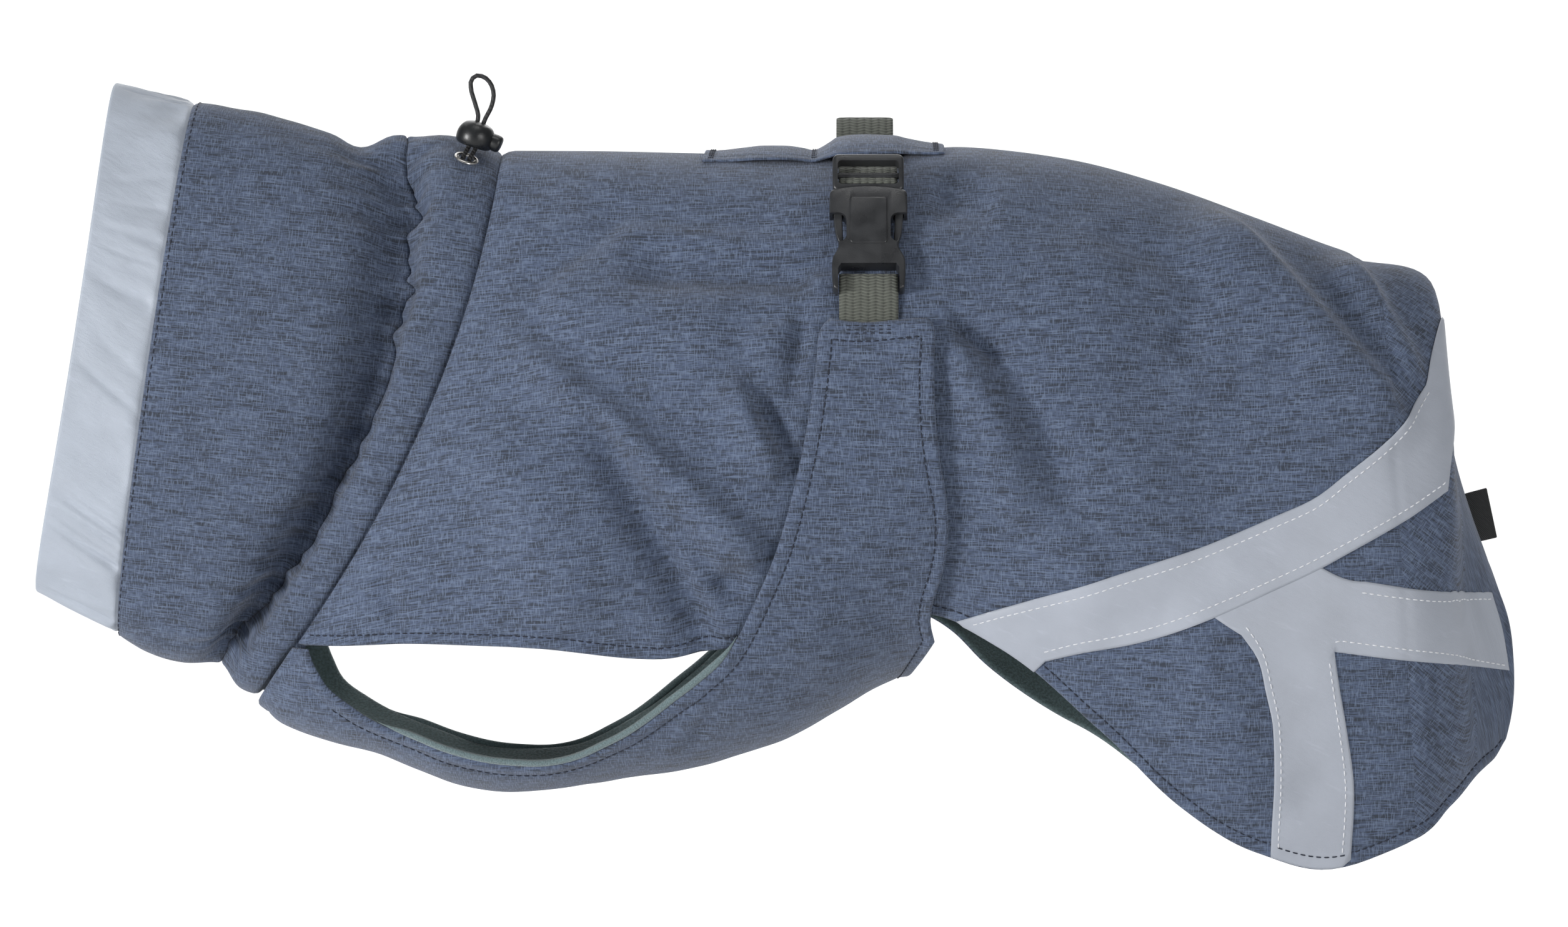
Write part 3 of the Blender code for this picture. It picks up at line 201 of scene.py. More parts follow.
# Parts of the buckle as (across, up from its low end); each list is one half.
PLUG_HALF = 14.6
PLUG_LENGTH = 16.5
PLUG_RAIL = 3.0
PLUG_ARM = [
    (10.3, 21.4), (12.2, 21.4), (13.4, 25.0), (14.1, 31.0), (14.3, 36.0), (14.3, 45.0), (10.7, 45.0),
    (10.7, 30.0),
]
SOCKET_HALF = [
    (14.0, 0.0), (14.6, 1.0), (14.7, 13.5), (13.2, 16.5), (12.2, 19.0), (12.6, 21.5), (15.6, 31.0),
    (15.9, 35.0), (15.8, 42.0), (15.2, 43.4),
]
MOUTH_HALF = [(12.5, -3.0), (12.5, 9.0), (11.2, 11.0)]
WINDOW_HALF = 12.5
NOTCH = (9.0, 18.0, 20.6, 33.5)
CREST = (7.6, 19.8, 40.6)

# The loop strip along the spine: how far it is held off the back, by x.
SPINE_X0 = 21.0
SPINE_X1 = 121.0
SPINE_HALF = 30.0
SPINE_EDGE_SHARE = 0.5
SPINE_LIFTS = [
    (21.0, 0.6), (26.0, 0.6), (37.0, 2.0), (45.0, 3.0), (56.0, 3.0), (62.0, 2.2), (67.0, 1.4),
    (70.0, 2.8), (73.5, 5.0), (76.5, 6.9), (100.5, 6.9), (107.0, 4.6), (114.0, 2.2), (121.0, 0.6),
]

# The cord lock, its button and the eyelet: centre and the way each is turned.
TOGGLE_CENTRE = (-74.2, -25.0, 6.2)
TOGGLE_AXIS = (0.32, -0.05, 0.946)
TOGGLE_PROFILE = [
    (3.3, -5.0), (5.2, -5.3), (7.2, -4.4), (8.0, -2.6), (8.1, -0.4), (7.4, 2.1), (5.7, 4.3), (3.3, 5.3),
]
BUTTON_CENTRE = (-68.0, -25.8, 3.6)
BUTTON_AXIS = (0.9, -0.1, -0.42)
BUTTON_PROFILE = [(0.0, 0.0), (3.4, 0.0), (3.5, 3.4), (2.8, 4.4), (0.0, 4.6)]
EYELET_CENTRE = (-78.2, -27.8, -3.7)
EYELET_AXIS = (0.3, -0.4, 0.86)
EYELET_PROFILE = [(3.4, -0.5), (5.0, -0.5), (5.2, 0.1), (4.3, 0.6), (3.4, 0.3)]

# The free loop of draw cord: out of the eyelet, through the toggle, round and back.
CORD_ROUTE = [
    (-79.7, -27.7, -3.8), (-79.1, -27.0, -1.9), (-77.8, -24.9, 0.4), (-75.6, -25.0, 7.0),
    (-73.4, -25.3, 13.7), (-74.8, -25.4, 19.6), (-76.4, -25.4, 25.4), (-76.4, -25.4, 28.6),
    (-74.2, -25.4, 30.8), (-70.9, -25.4, 30.2), (-68.4, -25.4, 27.8), (-67.0, -25.4, 23.6),
    (-67.8, -25.4, 18.2), (-70.5, -25.3, 12.8), (-72.9, -25.0, 6.1), (-75.1, -24.9, -0.6),
    (-76.4, -27.0, -2.8), (-77.1, -27.7, -4.7),
]
CORD_SPACING = 2.0

# Fine shape of the visual pieces, in millimetres.
RIPPLE_HEIGHT = 0.7
NEAR_FOLD_SHARE = 2.1
BAND_WRINKLE = 1.5
# Gathers as waves round the collar, height, reach before and behind the crease, and unevenness.
FINE_GATHERS = ((31, 1.2, 16.0, 6.0, 2.4), (47, 0.9, 11.0, 5.0, 3.1), (61, 0.6, 7.0, 4.0, 2.0))
CREASE_MORE = 13.0
CHANNEL_SWELL = 2.0
# Soft lumps on top of the collar, ahead of its drawn-in valley and behind: x, height and reach.
COLLAR_LUMPS = ((-134.0, 3.0, 8.0), (-113.0, 4.2, 12.0))
GRAIN_TILT = 0.3
GRAIN_REACH = 80.0
# How the corner of the rear vent is rounded: angle taken off its hem, and over what length.
CORNER_CUT = 0.1
CORNER_REACH = 13.0
# How far the band runs under the collar, and the cord channel under the body.
BAND_LAP = 1.5
NECK_LAP = 4.0
HEM_STITCH = 5.8
HEM_GROOVE = 0.45
TAPE_STITCH = 2.2
BRANCH_SHOWN = 0.55
STRIPE_SHOWN = 1.0
BRANCH_TUCK = 2.0
SPINE_SHOWN = 1.2
SPINE_TACKS = (24.0, 67.0, 117.5)
STRAP_TACKS = (-73.5, -75.0, -76.5)
FLAT_SCALE = 82.0
EDGE_STEPS = np.array([0.15, 0.45, 0.9, 1.5, 2.4])
HEM_STEPS = np.array([4.6, 5.2, 5.8, 6.4, 7.0, 8.2])
PANEL_STEPS_DOWN = 105

# Small creases of the belly panel and its straps, as lines in side view.
STRAP_FOLD_ROWS = [
    ("strap_top_crease", 70.0, -92.0, 84.0, -100.0, 0.6, 4.0),
    ("strap_low_crease", 62.0, -150.0, 92.0, -168.0, 0.7, 5.0),
    ("strap_dart", 82.0, -176.0, 100.0, -200.0, -1.1, 3.5),
    ("belly_soft", 60.0, -196.0, 80.0, -230.0, 1.2, 10.0),
    ("belly_crease", 22.0, -226.0, 4.0, -254.0, 0.9, 3.5),
    ("belly_crease_two", 36.0, -220.0, 14.0, -246.0, -0.8, 3.5),
]

# The photograph's camera, which looks along +Y from a little above.
PHOTO_WIDTH = 2510
MM_PER_PIXEL = 0.2632
CAMERA_DISTANCE = 2500.0
CAMERA_ELEVATION = 1.2
CAMERA_AIM = (53.96, 0.0, -131.3)

# Lights as name, place and aim in metres, size in metres and power in watts.
LIGHTS = [
    ("key", (-2.1, -1.7, 0.1), (0.05, 0.0, -0.13), (0.6, 0.6), 58.0),
    ("top", (0.3, -0.9, 2.3), (0.05, 0.0, -0.13), (1.2, 0.8), 11.0),
    ("fill", (1.5, -2.2, 0.2), (0.05, 0.0, -0.13), (1.2, 1.0), 20.0),
    ("back", (0.2, 2.2, 1.6), (0.05, 0.0, -0.13), (2.4, 1.6), 22.0),
    ("wall", (0.0, 1.3, 2.6), (0.0, 4.6, 0.1), (4.0, 1.0), 150.0),
]
AMBIENT = 0.16
FLOOR_Z = -0.45

# Linear colours.
HEATHER_MID = (0.064, 0.09, 0.155)
HEATHER_DEEP = (0.045, 0.064, 0.114)
HEATHER_DARK = (0.017, 0.024, 0.04)
HEATHER_LIGHT = (0.13, 0.172, 0.262)
TAPE_COLOUR = (0.36, 0.385, 0.44)
BAND_COLOUR = (0.36, 0.395, 0.455)
LINING_COLOUR = (0.12, 0.175, 0.18)
ROLL_COLOUR = (0.13, 0.185, 0.195)
WEBBING_COLOUR = (0.1, 0.107, 0.09)
PLASTIC_COLOUR = (0.021, 0.022, 0.024)
LOCK_COLOUR = (0.008, 0.009, 0.01)


def ramp(value):
    value = np.clip(value, 0, 1)
    return value * value * (3 - 2 * value)


def slopes(knots, values):
    """Tangents through the values that don't overshoot them."""
    steps = np.diff(knots)
    rises = np.diff(values) / steps
    tangents = np.empty(len(values))
    tangents[0] = rises[0]
    tangents[-1] = rises[-1]
    for i in range(1, len(values) - 1):
        before, after = rises[i - 1], rises[i]
        mean = (before * steps[i] + after * steps[i - 1]) / (steps[i - 1] + steps[i])
        steady = before * after > 0
        limit = 3.0 * min(abs(before), abs(after)) if steady else 0.35 * max(abs(before), abs(after))
        tangents[i] = np.clip(mean, -limit, limit)
    return tangents


def smooth_through(knots, values, at):
    """A smooth curve through the values, read at the given places."""
    at = np.clip(np.asarray(at, float), knots[0], knots[-1])
    tangents = slopes(knots, values)
    i = np.clip(np.searchsorted(knots, at, side="right") - 1, 0, len(knots) - 2)
    step = knots[i + 1] - knots[i]
    u = (at - knots[i]) / step
    near_value = (2 * u**3 - 3 * u**2 + 1) * values[i]
    near_slope = (u**3 - 2 * u**2 + u) * step * tangents[i]
    far_value = (3 * u**2 - 2 * u**3) * values[i + 1]
    far_slope = (u**3 - u**2) * step * tangents[i + 1]
    return near_value + near_slope + far_value + far_slope


def smooth_path(points, spacing):
    """Points about one spacing apart on a smooth curve through the given ones."""
    points = np.asarray(points, float)
    knots = np.concatenate([[0.0], np.cumsum(np.linalg.norm(np.diff(points, axis=0), axis=1))])
    at = np.linspace(0, knots[-1], max(2, int(round(knots[-1] / spacing)) + 1))
    return np.stack([smooth_through(knots, points[:, k], at) for k in range(points.shape[1])], 1)


class Sections:
    """Sections set along the garment, each from a top point to a low point.

    Angle 0 is on the spine, pi on the belly line; positive angles are on the near side.
    """

    def __init__(self, rows, columns, low_names):
        self.values = {n: np.array([row[columns.index(n)] for row in rows], float) for n in columns[1:]}
        top = np.stack([self.values["top_x"], self.values["top_z"]], 1)
        low = np.stack([self.values[n] for n in low_names], 1)
        wrap = self.values.setdefault("wrap", np.ones(len(rows)))
        belly = top + (low - top) / wrap[:, None]
        self.values["belly_x"] = belly[:, 0]
        self.values["belly_z"] = belly[:, 1]
        middle = (top + low) / 2
        self.knots = np.concatenate([[0.0], np.cumsum(np.linalg.norm(np.diff(middle, axis=0), axis=1))])

    def read(self, name, along):
        return smooth_through(self.knots, self.values[name], along)

    def plain(self, along, angle):
        share = (1 - np.cos(angle)) / 2
        top_x = self.read("top_x", along)
        top_z = self.read("top_z", along)
        bow = self.read("bow", along) * np.sin(angle) ** 2
        x = top_x + (self.read("belly_x", along) - top_x) * share + bow
        z = top_z + (self.read("belly_z", along) - top_z) * share
        width = np.sign(np.sin(angle)) * np.abs(np.sin(angle)) ** SIDE_SHAPE
        return np.stack([x, -self.read("half", along) * width, z], -1)

    def hem_angle(self, along):
        return np.arccos(1 - 2 * self.read("wrap", along))

    def across(self, along):
        """Unit direction square to the section's plane, in side view."""
        x = self.read("belly_x", along) - self.read("top_x", along)
        z = self.read("belly_z", along) - self.read("top_z", along)
        long = np.hypot(x, z)
        return np.stack([-z / long, np.zeros_like(x), x / long], -1)


COLLAR = Sections(COLLAR_ROWS, COLLAR_COLUMNS, ("low_x", "low_z"))
BODY = Sections(RIB_ROWS, RIB_COLUMNS, ("hem_x", "hem_z"))
GORE_ALONG = BODY.knots[GORE_SEAM_RIB]
REAR_ALONG = BODY.knots[-1]


def outward(surface, along, angle, reach=1.5, turn=0.03):
    """Unit normals of a surface function, pointing out of the garment."""
    down = surface(along, angle + turn) - surface(along, angle - turn)
    back = surface(along + reach, angle) - surface(along - reach, angle)
    normal = np.cross(down, back)
    return normal / np.linalg.norm(normal, axis=-1, keepdims=True)


def fold_height(x, z, shift, share):
    """Height of all folds over the plain body, at points in side view."""
    total = np.zeros_like(x)
    for row in FOLD_ROWS:
        fold = dict(zip(FOLD_COLUMNS, row))
        start = np.array([fold["x0"] + shift, fold["z0"]])
        run = np.array([fold["x1"] + shift, fold["z1"]]) - start
        length = np.linalg.norm(run)
        way = run / length
        along = ((x - start[0]) * way[0] + (z - start[1]) * way[1]) / length
        side = (z - start[1]) * way[0] - (x - start[0]) * way[1]
        side = side - fold["bend"] * np.sin(np.pi * np.clip(along, 0, 1))
        width = np.where(side > 0, fold["behind"], fold["ahead"])
        ends = ramp(np.minimum(along, 1 - along) / 0.28 + 0.5)
        total += share * fold["height"] * ends * np.exp(-((side / width) ** 2))
    return total


def under_strap(x, z):
    """1 where the strap presses the cloth flat, 0 away from it."""
    front_x, front_z = np.array(BELLY_FRONT_EDGE[-10:-1]).T
    front = np.interp(z, front_z, front_x)
    return ramp(np.minimum(x - front + 11.0, 128.0 - x) / 10.0) * ramp((-z - 44.0) / 12.0)


def body_surface(along, angle):
    """Outer face of the body, folds and all."""
    along = np.clip(along, 0.0, BODY.knots[-1])
    point = BODY.plain(along, angle)
    x, z = point[..., 0], point[..., 2]
    near = fold_height(x, z, 0.0, NEAR_FOLD_SHARE)
    far = fold_height(x, z, FAR_FOLD_SHIFT, FAR_FOLD_SHARE)
    height = np.where(np.sin(angle) >= 0, near, far)
    height *= ramp(np.abs(np.sin(angle)) * 2.2)
    height *= ramp(along / 16.0) * ramp((REAR_ALONG - along) / 14.0)
    height *= 1 - under_strap(x, z)
    return point + outward(BODY.plain, along, angle) * height[..., None]


def collar_surface(along, angle):
    """Outer face of the collar, drawn in and gathered at the draw cord."""
    along = np.clip(along, 0.0, COLLAR.knots[-1])
    point = COLLAR.plain(along, angle)
    away = np.abs(along - COLLAR.knots[CREASE_RING])
    height = -CREASE_DEPTH * np.exp(-((away / CREASE_REACH) ** 2))
    height = height * ramp(0.1 + 1.6 * np.abs(np.sin(angle)))
    for waves, tall in zip(GATHER_WAVES, GATHER_HEIGHTS):
        wave = np.sin(waves * angle + 2.0 * np.sin(angle))
        height = height + tall * wave * np.exp(-away / GATHER_REACH)
    fold = COLLAR_FOLD
    run_x, run_z = fold["x1"] - fold["x0"], fold["z1"] - fold["z0"]
    run = math.hypot(run_x, run_z)
    from_x, from_z = point[..., 0] - fold["x0"], point[..., 2] - fold["z0"]
    share = (from_x * run_x + from_z * run_z) / run**2
    side = (from_z * run_x - from_x * run_z) / run
    ends = ramp(1.3 - share) * ramp(share + 0.6)
    height = height + fold["height"] * ends * np.exp(-((side / fold["width"]) ** 2))
    height = height * ramp((COLLAR.knots[-1] - along) / 10.0)
    return point + outward(COLLAR.plain, along, angle) * height[..., None]


def belly_surface(along, angle):
    """Outer face of the belly panel, which lies over the body as the strap."""
    along = np.clip(along, 0.0, BODY.knots[-1])
    lift = STRAP_WALL + SEAM + (STRAP_LIFT - SEAM) * ramp(along / 14.0)
    return BODY.plain(along, angle) + outward(BODY.plain, along, angle) * lift[..., None]


def rounded(across0, across1, up0, up1, radius, steps=3):
    """A rectangle with round corners, as points in order."""
    points = []
    corners = ((across1, up0, -90), (across1, up1, 0), (across0, up1, 90), (across0, up0, 180))
    for a, u, turn in corners:
        centre_a = a - math.copysign(radius, a - (across0 + across1) / 2)
        centre_u = u - math.copysign(radius, u - (up0 + up1) / 2)
        for k in range(steps + 1):
            t = math.radians(turn + 90 * k / steps)
            points.append((centre_a + radius * math.cos(t), centre_u + radius * math.sin(t)))
    return points


def buckle_points(across, up, out, side):
    """World points of places on the buckle: across it, up from its low end, out from its middle."""
    low, top = np.array(BUCKLE_LOW), np.array(BUCKLE_TOP)
    axis = (top - low) / np.linalg.norm(top - low)
    face = np.array([-axis[1], axis[0]])
    yz = low + np.multiply.outer(up, axis) + np.multiply.outer(out, face)
    return np.stack([STRAP_X + np.asarray(across, float), yz[:, 0] * side, yz[:, 1]], 1)


def both_halves(half):
    """A closed outline from the half with positive across."""
    return half + [(-a, u) for a, u in half[::-1]]



def girths(sections):
    """Lengths round each section in the (y, z) plane, counted up from where it passes a level."""
    along, angle = np.linspace(0, sections.knots[-1], 90), np.linspace(0, math.pi, 121)
    point = sections.plain(*np.meshgrid(along, angle, indexing="ij"))
    step = np.hypot(*np.diff(point[..., 1:], axis=1).transpose(2, 0, 1))
    run = np.concatenate([np.zeros((len(along), 1)), np.cumsum(step, axis=1)], axis=1)
    level = [np.interp(-WEAVE_LEVEL, -row[:, 2], length) for row, length in zip(point, run)]
    return np.array(level)[:, None] - run


def girth(sections, along, angle):
    table = GIRTHS[id(sections)]
    angle = np.abs(angle)
    angle = np.where(angle > math.pi, 2 * math.pi - angle, angle)
    row = np.clip(along / sections.knots[-1], 0, 0.99999) * (table.shape[0] - 1)
    column = np.clip(angle / math.pi, 0, 0.99999) * (table.shape[1] - 1)
    i, j = row.astype(int), column.astype(int)
    u, v = row - i, column - j
    upper = table[i, j] * (1 - v) + table[i, j + 1] * v
    lower = table[i + 1, j] * (1 - v) + table[i + 1, j + 1] * v
    return upper * (1 - u) + lower * u


WEAVE_LEVEL = -100.0
GIRTHS = {id(COLLAR): girths(COLLAR), id(BODY): girths(BODY)}
CHANCE = np.random.default_rng(11)
RIPPLES = [(CHANCE.uniform(0, math.pi), CHANCE.uniform(16, 75), CHANCE.uniform(0, 6.28)) for _ in range(16)]


def ripple(x, z):
    """Small uneven waves of cloth, about -1 to 1."""
    total = np.zeros_like(x)
    for turn, length, phase in RIPPLES:
        place = (x * math.cos(turn) + z * math.sin(turn)) / length
        total += np.sin(2 * math.pi * place + phase + 0.8 * np.sin(place + phase)) * length / 75
    return total / 3.0


def dip(distance, reach):
    return np.exp(-((distance / reach) ** 2))


def body_skin(along, angle):
    """The body's outer face with its seams drawn in."""
    point = body_surface(along, angle)
    side = np.where(np.sin(angle) >= 0, 0.0, 37.0)
    height = RIPPLE_HEIGHT * ripple(point[..., 0] + side, point[..., 2])
    height = height * ramp(along / 20.0) * ramp(np.abs(angle) * 1.6) * (1 - 0.6 * under_strap(point[..., 0], point[..., 2]))
    height -= 1.5 * dip(along, 2.6) + 0.3 * dip(along - GORE_ALONG, 1.6)
    height -= 0.8 * dip(angle * BODY.read("half", along), 2.4)
    return point + outward(BODY.plain, along, angle) * height[..., None]


def collar_skin(along, angle):
    """The collar's outer face with wrinkles, fine gathers and seams."""
    band, crease = COLLAR.knots[BAND_SEAM_RING], COLLAR.knots[CREASE_RING]
    uneven = angle + 0.09 * np.sin(5 * angle + 1.0) + 0.05 * np.sin(11 * angle)
    sway = 1.3 * np.sin(13 * uneven) + 0.9 * np.sin(29 * uneven + 1.0) + 0.6 * np.sin(46 * uneven + 2.0)
    sway = sway * (0.5 + 0.45 * ramp((1.7 - np.abs(angle)) / 0.8)) * ramp(np.abs(angle) * 1.6)
    point = collar_surface(along + sway * dip(along - crease, 10.0), angle)
    on_band = ramp((band - along) / 4.0) * ramp(along / 12.0) * (0.35 + 0.65 * along / band)
    slant = uneven + along / 300.0 * np.sin(2 * angle + 0.6)
    sharp = np.abs(np.sin(9.5 * slant + 0.4)) ** 19 * ramp(0.5 + 0.9 * np.sin(6 * angle + 0.5))
    sharp = sharp + 0.8 * np.abs(np.sin(17.5 * slant + 1.3)) ** 21 * ramp(0.3 + 0.9 * np.sin(4 * angle + 2.0))
    sharp = sharp + 0.5 * np.abs(np.sin(31.5 * slant + 0.7)) ** 15 * ramp(0.2 + 0.9 * np.sin(9 * angle))
    height = on_band * BAND_WRINKLE * (0.5 * np.sin(13 * slant) + 0.3 * np.sin(29 * slant + along / 9.0) - sharp)
    off = along - crease
    for waves, tall, before, behind, twist in FINE_GATHERS:
        fade = np.exp(-np.abs(off) / np.where(off < 0, before, behind)) * ramp(0.25 + 1.4 * np.abs(np.sin(angle)))
        lift = np.sin(waves * angle + twist * np.sin(3 * angle) + 0.8 * np.sin(7 * angle) + along / 18.0)
        height = height + tall * lift * fade
    height = height + 0.9 * RIPPLE_HEIGHT * ripple(point[..., 0] * 1.3, point[..., 2]) * ramp((along - band) / 12.0)
    before = 6.5 + 5.5 * ramp((point[..., 2] + 110.0) / 70.0) + 1.2 * sway
    drawn = np.exp(-np.abs(off / np.where(off < 0, before, 3.6)) ** np.where(off < 0, 2.0, 1.4))
    height = height - CREASE_MORE * ramp(0.1 + 1.5 * np.abs(np.sin(angle))) * drawn
    height = height + CHANNEL_SWELL * np.abs(np.sin(angle)) * dip(along - crease - 10.0, 6.5)
    for lump_x, lump_height, lump_reach in COLLAR_LUMPS:
        height = height + lump_height * dip(point[..., 0] - lump_x, lump_reach) * dip(angle, 0.6)
    height = height - 0.9 * dip(along - band, 1.6) - 1.5 * dip(along - COLLAR.knots[-1], 2.6)
    return point + outward(COLLAR.plain, along, angle) * height[..., None]


def belly_skin(along, angle):
    """The belly panel's outer face with small ripples."""
    point = belly_surface(along, angle)
    side = np.where(np.sin(angle) >= 0, 0.0, 37.0)
    height = 0.8 * RIPPLE_HEIGHT * ripple(point[..., 0] * 1.1 + side, point[..., 2] * 1.1)
    for row in STRAP_FOLD_ROWS:
        x0, z0, x1, z1, tall, width = row[1:]
        run = math.hypot(x1 - x0, z1 - z0)
        share = ((point[..., 0] - x0) * (x1 - x0) + (point[..., 2] - z0) * (z1 - z0)) / run**2
        off = ((point[..., 2] - z0) * (x1 - x0) - (point[..., 0] - x0) * (z1 - z0)) / run
        height = height + tall * ramp(np.minimum(share, 1 - share) / 0.3 + 0.5) * dip(off, width)
    return point + outward(BODY.plain, along, angle) * height[..., None]


def fine_outward(surface, along, angle):
    return outward(surface, along, angle, reach=0.6, turn=0.008)


def locate(surface, points):
    """Along and angle at which a surface's near side shows points of the side view."""
    along, angle = np.meshgrid(np.linspace(0, REAR_ALONG, 150), np.linspace(0.05, 3.09, 110))
    spread = surface(along, angle)[..., [0, 2]].reshape(-1, 2)
    points = np.atleast_2d(np.asarray(points, float))
    start = [np.argmin(((spread - p) ** 2).sum(axis=1)) for p in points]
    here = np.stack([along.flat[start], angle.flat[start]], 1)
    for _ in range(12):
        a, t = here.T
        miss = points - surface(a, t)[:, [0, 2]]
        by_a = (surface(a + 0.5, t) - surface(a - 0.5, t))[:, [0, 2]]
        by_t = (surface(a, t + 0.01) - surface(a, t - 0.01))[:, [0, 2]] / 0.02
        area = by_a[:, 0] * by_t[:, 1] - by_a[:, 1] * by_t[:, 0]
        area = np.where(np.abs(area) < 1e-3, 1e-3, area)
        step_a = (miss[:, 0] * by_t[:, 1] - miss[:, 1] * by_t[:, 0]) / area
        step_t = (by_a[:, 0] * miss[:, 1] - by_a[:, 1] * miss[:, 0]) / area
        here = here + np.clip(np.stack([step_a, step_t], 1), [-8, -0.15], [8, 0.15])
        here = np.clip(here, [0.0, 0.03], [REAR_ALONG, 3.11])
    return here


def make_object(name, points, faces, looks, look_of_face=None, weave=None, sharp=None):
    """A piece from millimetre points; looks are materials, weave is a pair of lengths per point."""
    mesh = bpy.data.meshes.new(name)
    mesh.from_pydata(((np.asarray(points, float) - ORIGIN) * MM).tolist(), [], faces)
    for look in looks:
        mesh.materials.append(look)
    if look_of_face is not None:
        mesh.polygons.foreach_set("material_index", np.asarray(look_of_face, np.int32))
    if weave is not None:
        corner = np.empty(len(mesh.loops), np.int32)
        mesh.loops.foreach_get("vertex_index", corner)
        layer = mesh.uv_layers.new(name="weave")
        layer.data.foreach_set("uv", (np.asarray(weave)[corner] * MM).astype(np.float32).ravel())
    mesh.shade_smooth()
    if sharp:
        mesh.set_sharp_from_angle(angle=math.radians(sharp))
    made = bpy.data.objects.new(name, mesh)
    bpy.context.scene.collection.objects.link(made)
    return made


def grid_faces(rows, columns, closed=False, flip=False):
    faces = []
    for i in range(rows - 1):
        for j in range(columns if closed else columns - 1):
            a, b = i * columns + j, i * columns + (j + 1) % columns
            faces.append((a, a + columns, b + columns, b) if flip else (a, b, b + columns, a + columns))
    return faces


def cloth(name, outer, inner, faces, weave, looks, rim_look=0):
    """A wall of cloth: outer faces, the lining's faces inside, and a rim round every edge."""
    outer, inner = np.asarray(outer).reshape(-1, 3), np.asarray(inner).reshape(-1, 3)
    weave = np.asarray(weave).reshape(-1, 2)
    count = len(outer)
    sides = {(f[k], f[(k + 1) % len(f)]) for f in faces for k in range(len(f))}
    rim = [(b, a, a + count, b + count) for a, b in sorted(sides) if (b, a) not in sides]
    back = [tuple(v + count for v in reversed(f)) for f in faces]
    look_of_face = [0] * len(faces) + [1] * len(back) + [rim_look] * len(rim)
    points = np.concatenate([outer, inner])
    return make_object(name, points, faces + back + rim, looks, look_of_face, np.concatenate([weave, weave]))


def round_off(distance, wall):
    """Depths of the outer and inner faces under the full outer face, rounded towards an edge."""
    share = np.clip(distance / (0.6 * wall), 0.0, 1.0)
    thick = wall * np.maximum(np.sqrt(1 - (1 - share) ** 2), 0.1)
    return (wall - thick) / 2, (wall + thick) / 2


def crowded(count, near_start, near_end):
    """Shares from 0 to 1 with more of them near the ends."""
    shares = np.concatenate([np.linspace(0, 1, count), near_start, 1 - np.asarray(near_end)])
    shares = np.unique(np.round(shares, 5))
    keep = np.concatenate([[True], np.diff(shares) > 0.0006])
    keep[-1] = True
    return shares[keep]


def run_lengths(points, axis):
    step = np.linalg.norm(np.diff(points, axis=axis), axis=-1)
    zero = np.zeros_like(np.take(step, [0], axis=axis))
    return np.concatenate([zero, np.cumsum(step, axis=axis)], axis=axis)


def hem_end(along, side):
    hem = BODY.hem_angle(along)
    if side < 0:
        extra, centre, reach = FAR_HEM
        hem = hem + extra * np.exp(-(((along - centre) / reach) ** 2))
    return hem - CORNER_CUT * ramp((along - REAR_ALONG + CORNER_REACH) / CORNER_REACH) ** 2


def body_weave(point, along, angle):
    """Lengths along and across the cloth, its cross grain tilted towards the neck."""
    tilt = GRAIN_TILT * GRAIN_REACH * np.exp(-(point[..., 0] + 140.0) / GRAIN_REACH)
    return np.stack([point[..., 0], girth(BODY, along, angle) + tilt], -1)


def side_panel(name, start, end, steps, side, looks, vent):
    """A side panel of the body as cloth, from the spine to the hem."""
    rows = start + (end - start) * crowded(steps, EDGE_STEPS / (end - start), EDGE_STEPS / (end - start))
    share = crowded(PANEL_STEPS_DOWN, EDGE_STEPS / 230.0, np.concatenate([EDGE_STEPS, HEM_STEPS]) / 230.0)
    along, share = np.meshgrid(rows, share, indexing="ij")
    angle = side * hem_end(along, side) * share
    point = body_skin(along, angle)
    normal = fine_outward(body_skin, along, angle)
    down, back = run_lengths(point, 1), run_lengths(point, 0)
    to_hem, to_end = down[:, -1:] - down, back[-1:] - back
    edge = np.minimum(np.minimum(down + 0.9, to_hem), to_end if vent else back + 0.9)
    low, high = round_off(edge, WALL)
    open_edge = np.minimum(to_hem, to_end) if vent else to_hem
    low = low + HEM_GROOVE * dip(open_edge - HEM_STITCH, 0.9) - 0.3 * dip(open_edge - 3.0, 1.8)
    outer, inner = point - normal * low[..., None], point - normal * high[..., None]
    weave = body_weave(point, along, angle)
    faces = grid_faces(len(rows), share.shape[1], flip=side < 0)
    return cloth(name, outer, inner, faces, weave, looks)


def collar_ring(name, start, end, wall, looks, columns, lap=0.0):
    """A stretch of the collar as a ring of cloth, its last row run on under the next piece by the lap."""
    rows = start + (end - start) * crowded(int((end - start) / 2.2), EDGE_STEPS / (end - start), EDGE_STEPS / (end - start))
    turns = np.linspace(-math.pi, math.pi, columns, endpoint=False)
    along, angle = np.meshgrid(rows, turns, indexing="ij")
    point = collar_skin(along, angle)
    normal = fine_outward(collar_skin, along, angle)
    back = run_lengths(point, 0)
    edge = np.minimum(back, back[-1:] - back)
    low, high = round_off(edge, wall)
    way = point[-1] - point[-2]
    point[-1] += lap * way / np.linalg.norm(way, axis=-1, keepdims=True)
    outer, inner = point - normal * low[..., None], point - normal * high[..., None]
    weave = np.stack([point[..., 0], girth(COLLAR, along, angle)], -1)
    return cloth(name, outer, inner, grid_faces(len(rows), columns, closed=True), weave, looks)


def inside(outline, points):
    """Whether each point lies inside a closed outline."""
    start, end = outline, np.roll(outline, -1, axis=0)
    hit = np.zeros(len(points), bool)
    for (x0, y0), (x1, y1) in zip(start, end):
        if y0 == y1:
            continue
        crosses = (y0 > points[:, 1]) != (y1 > points[:, 1])
        hit ^= crosses & (points[:, 0] < (x1 - x0) * (points[:, 1] - y0) / (y1 - y0) + x0)
    return hit


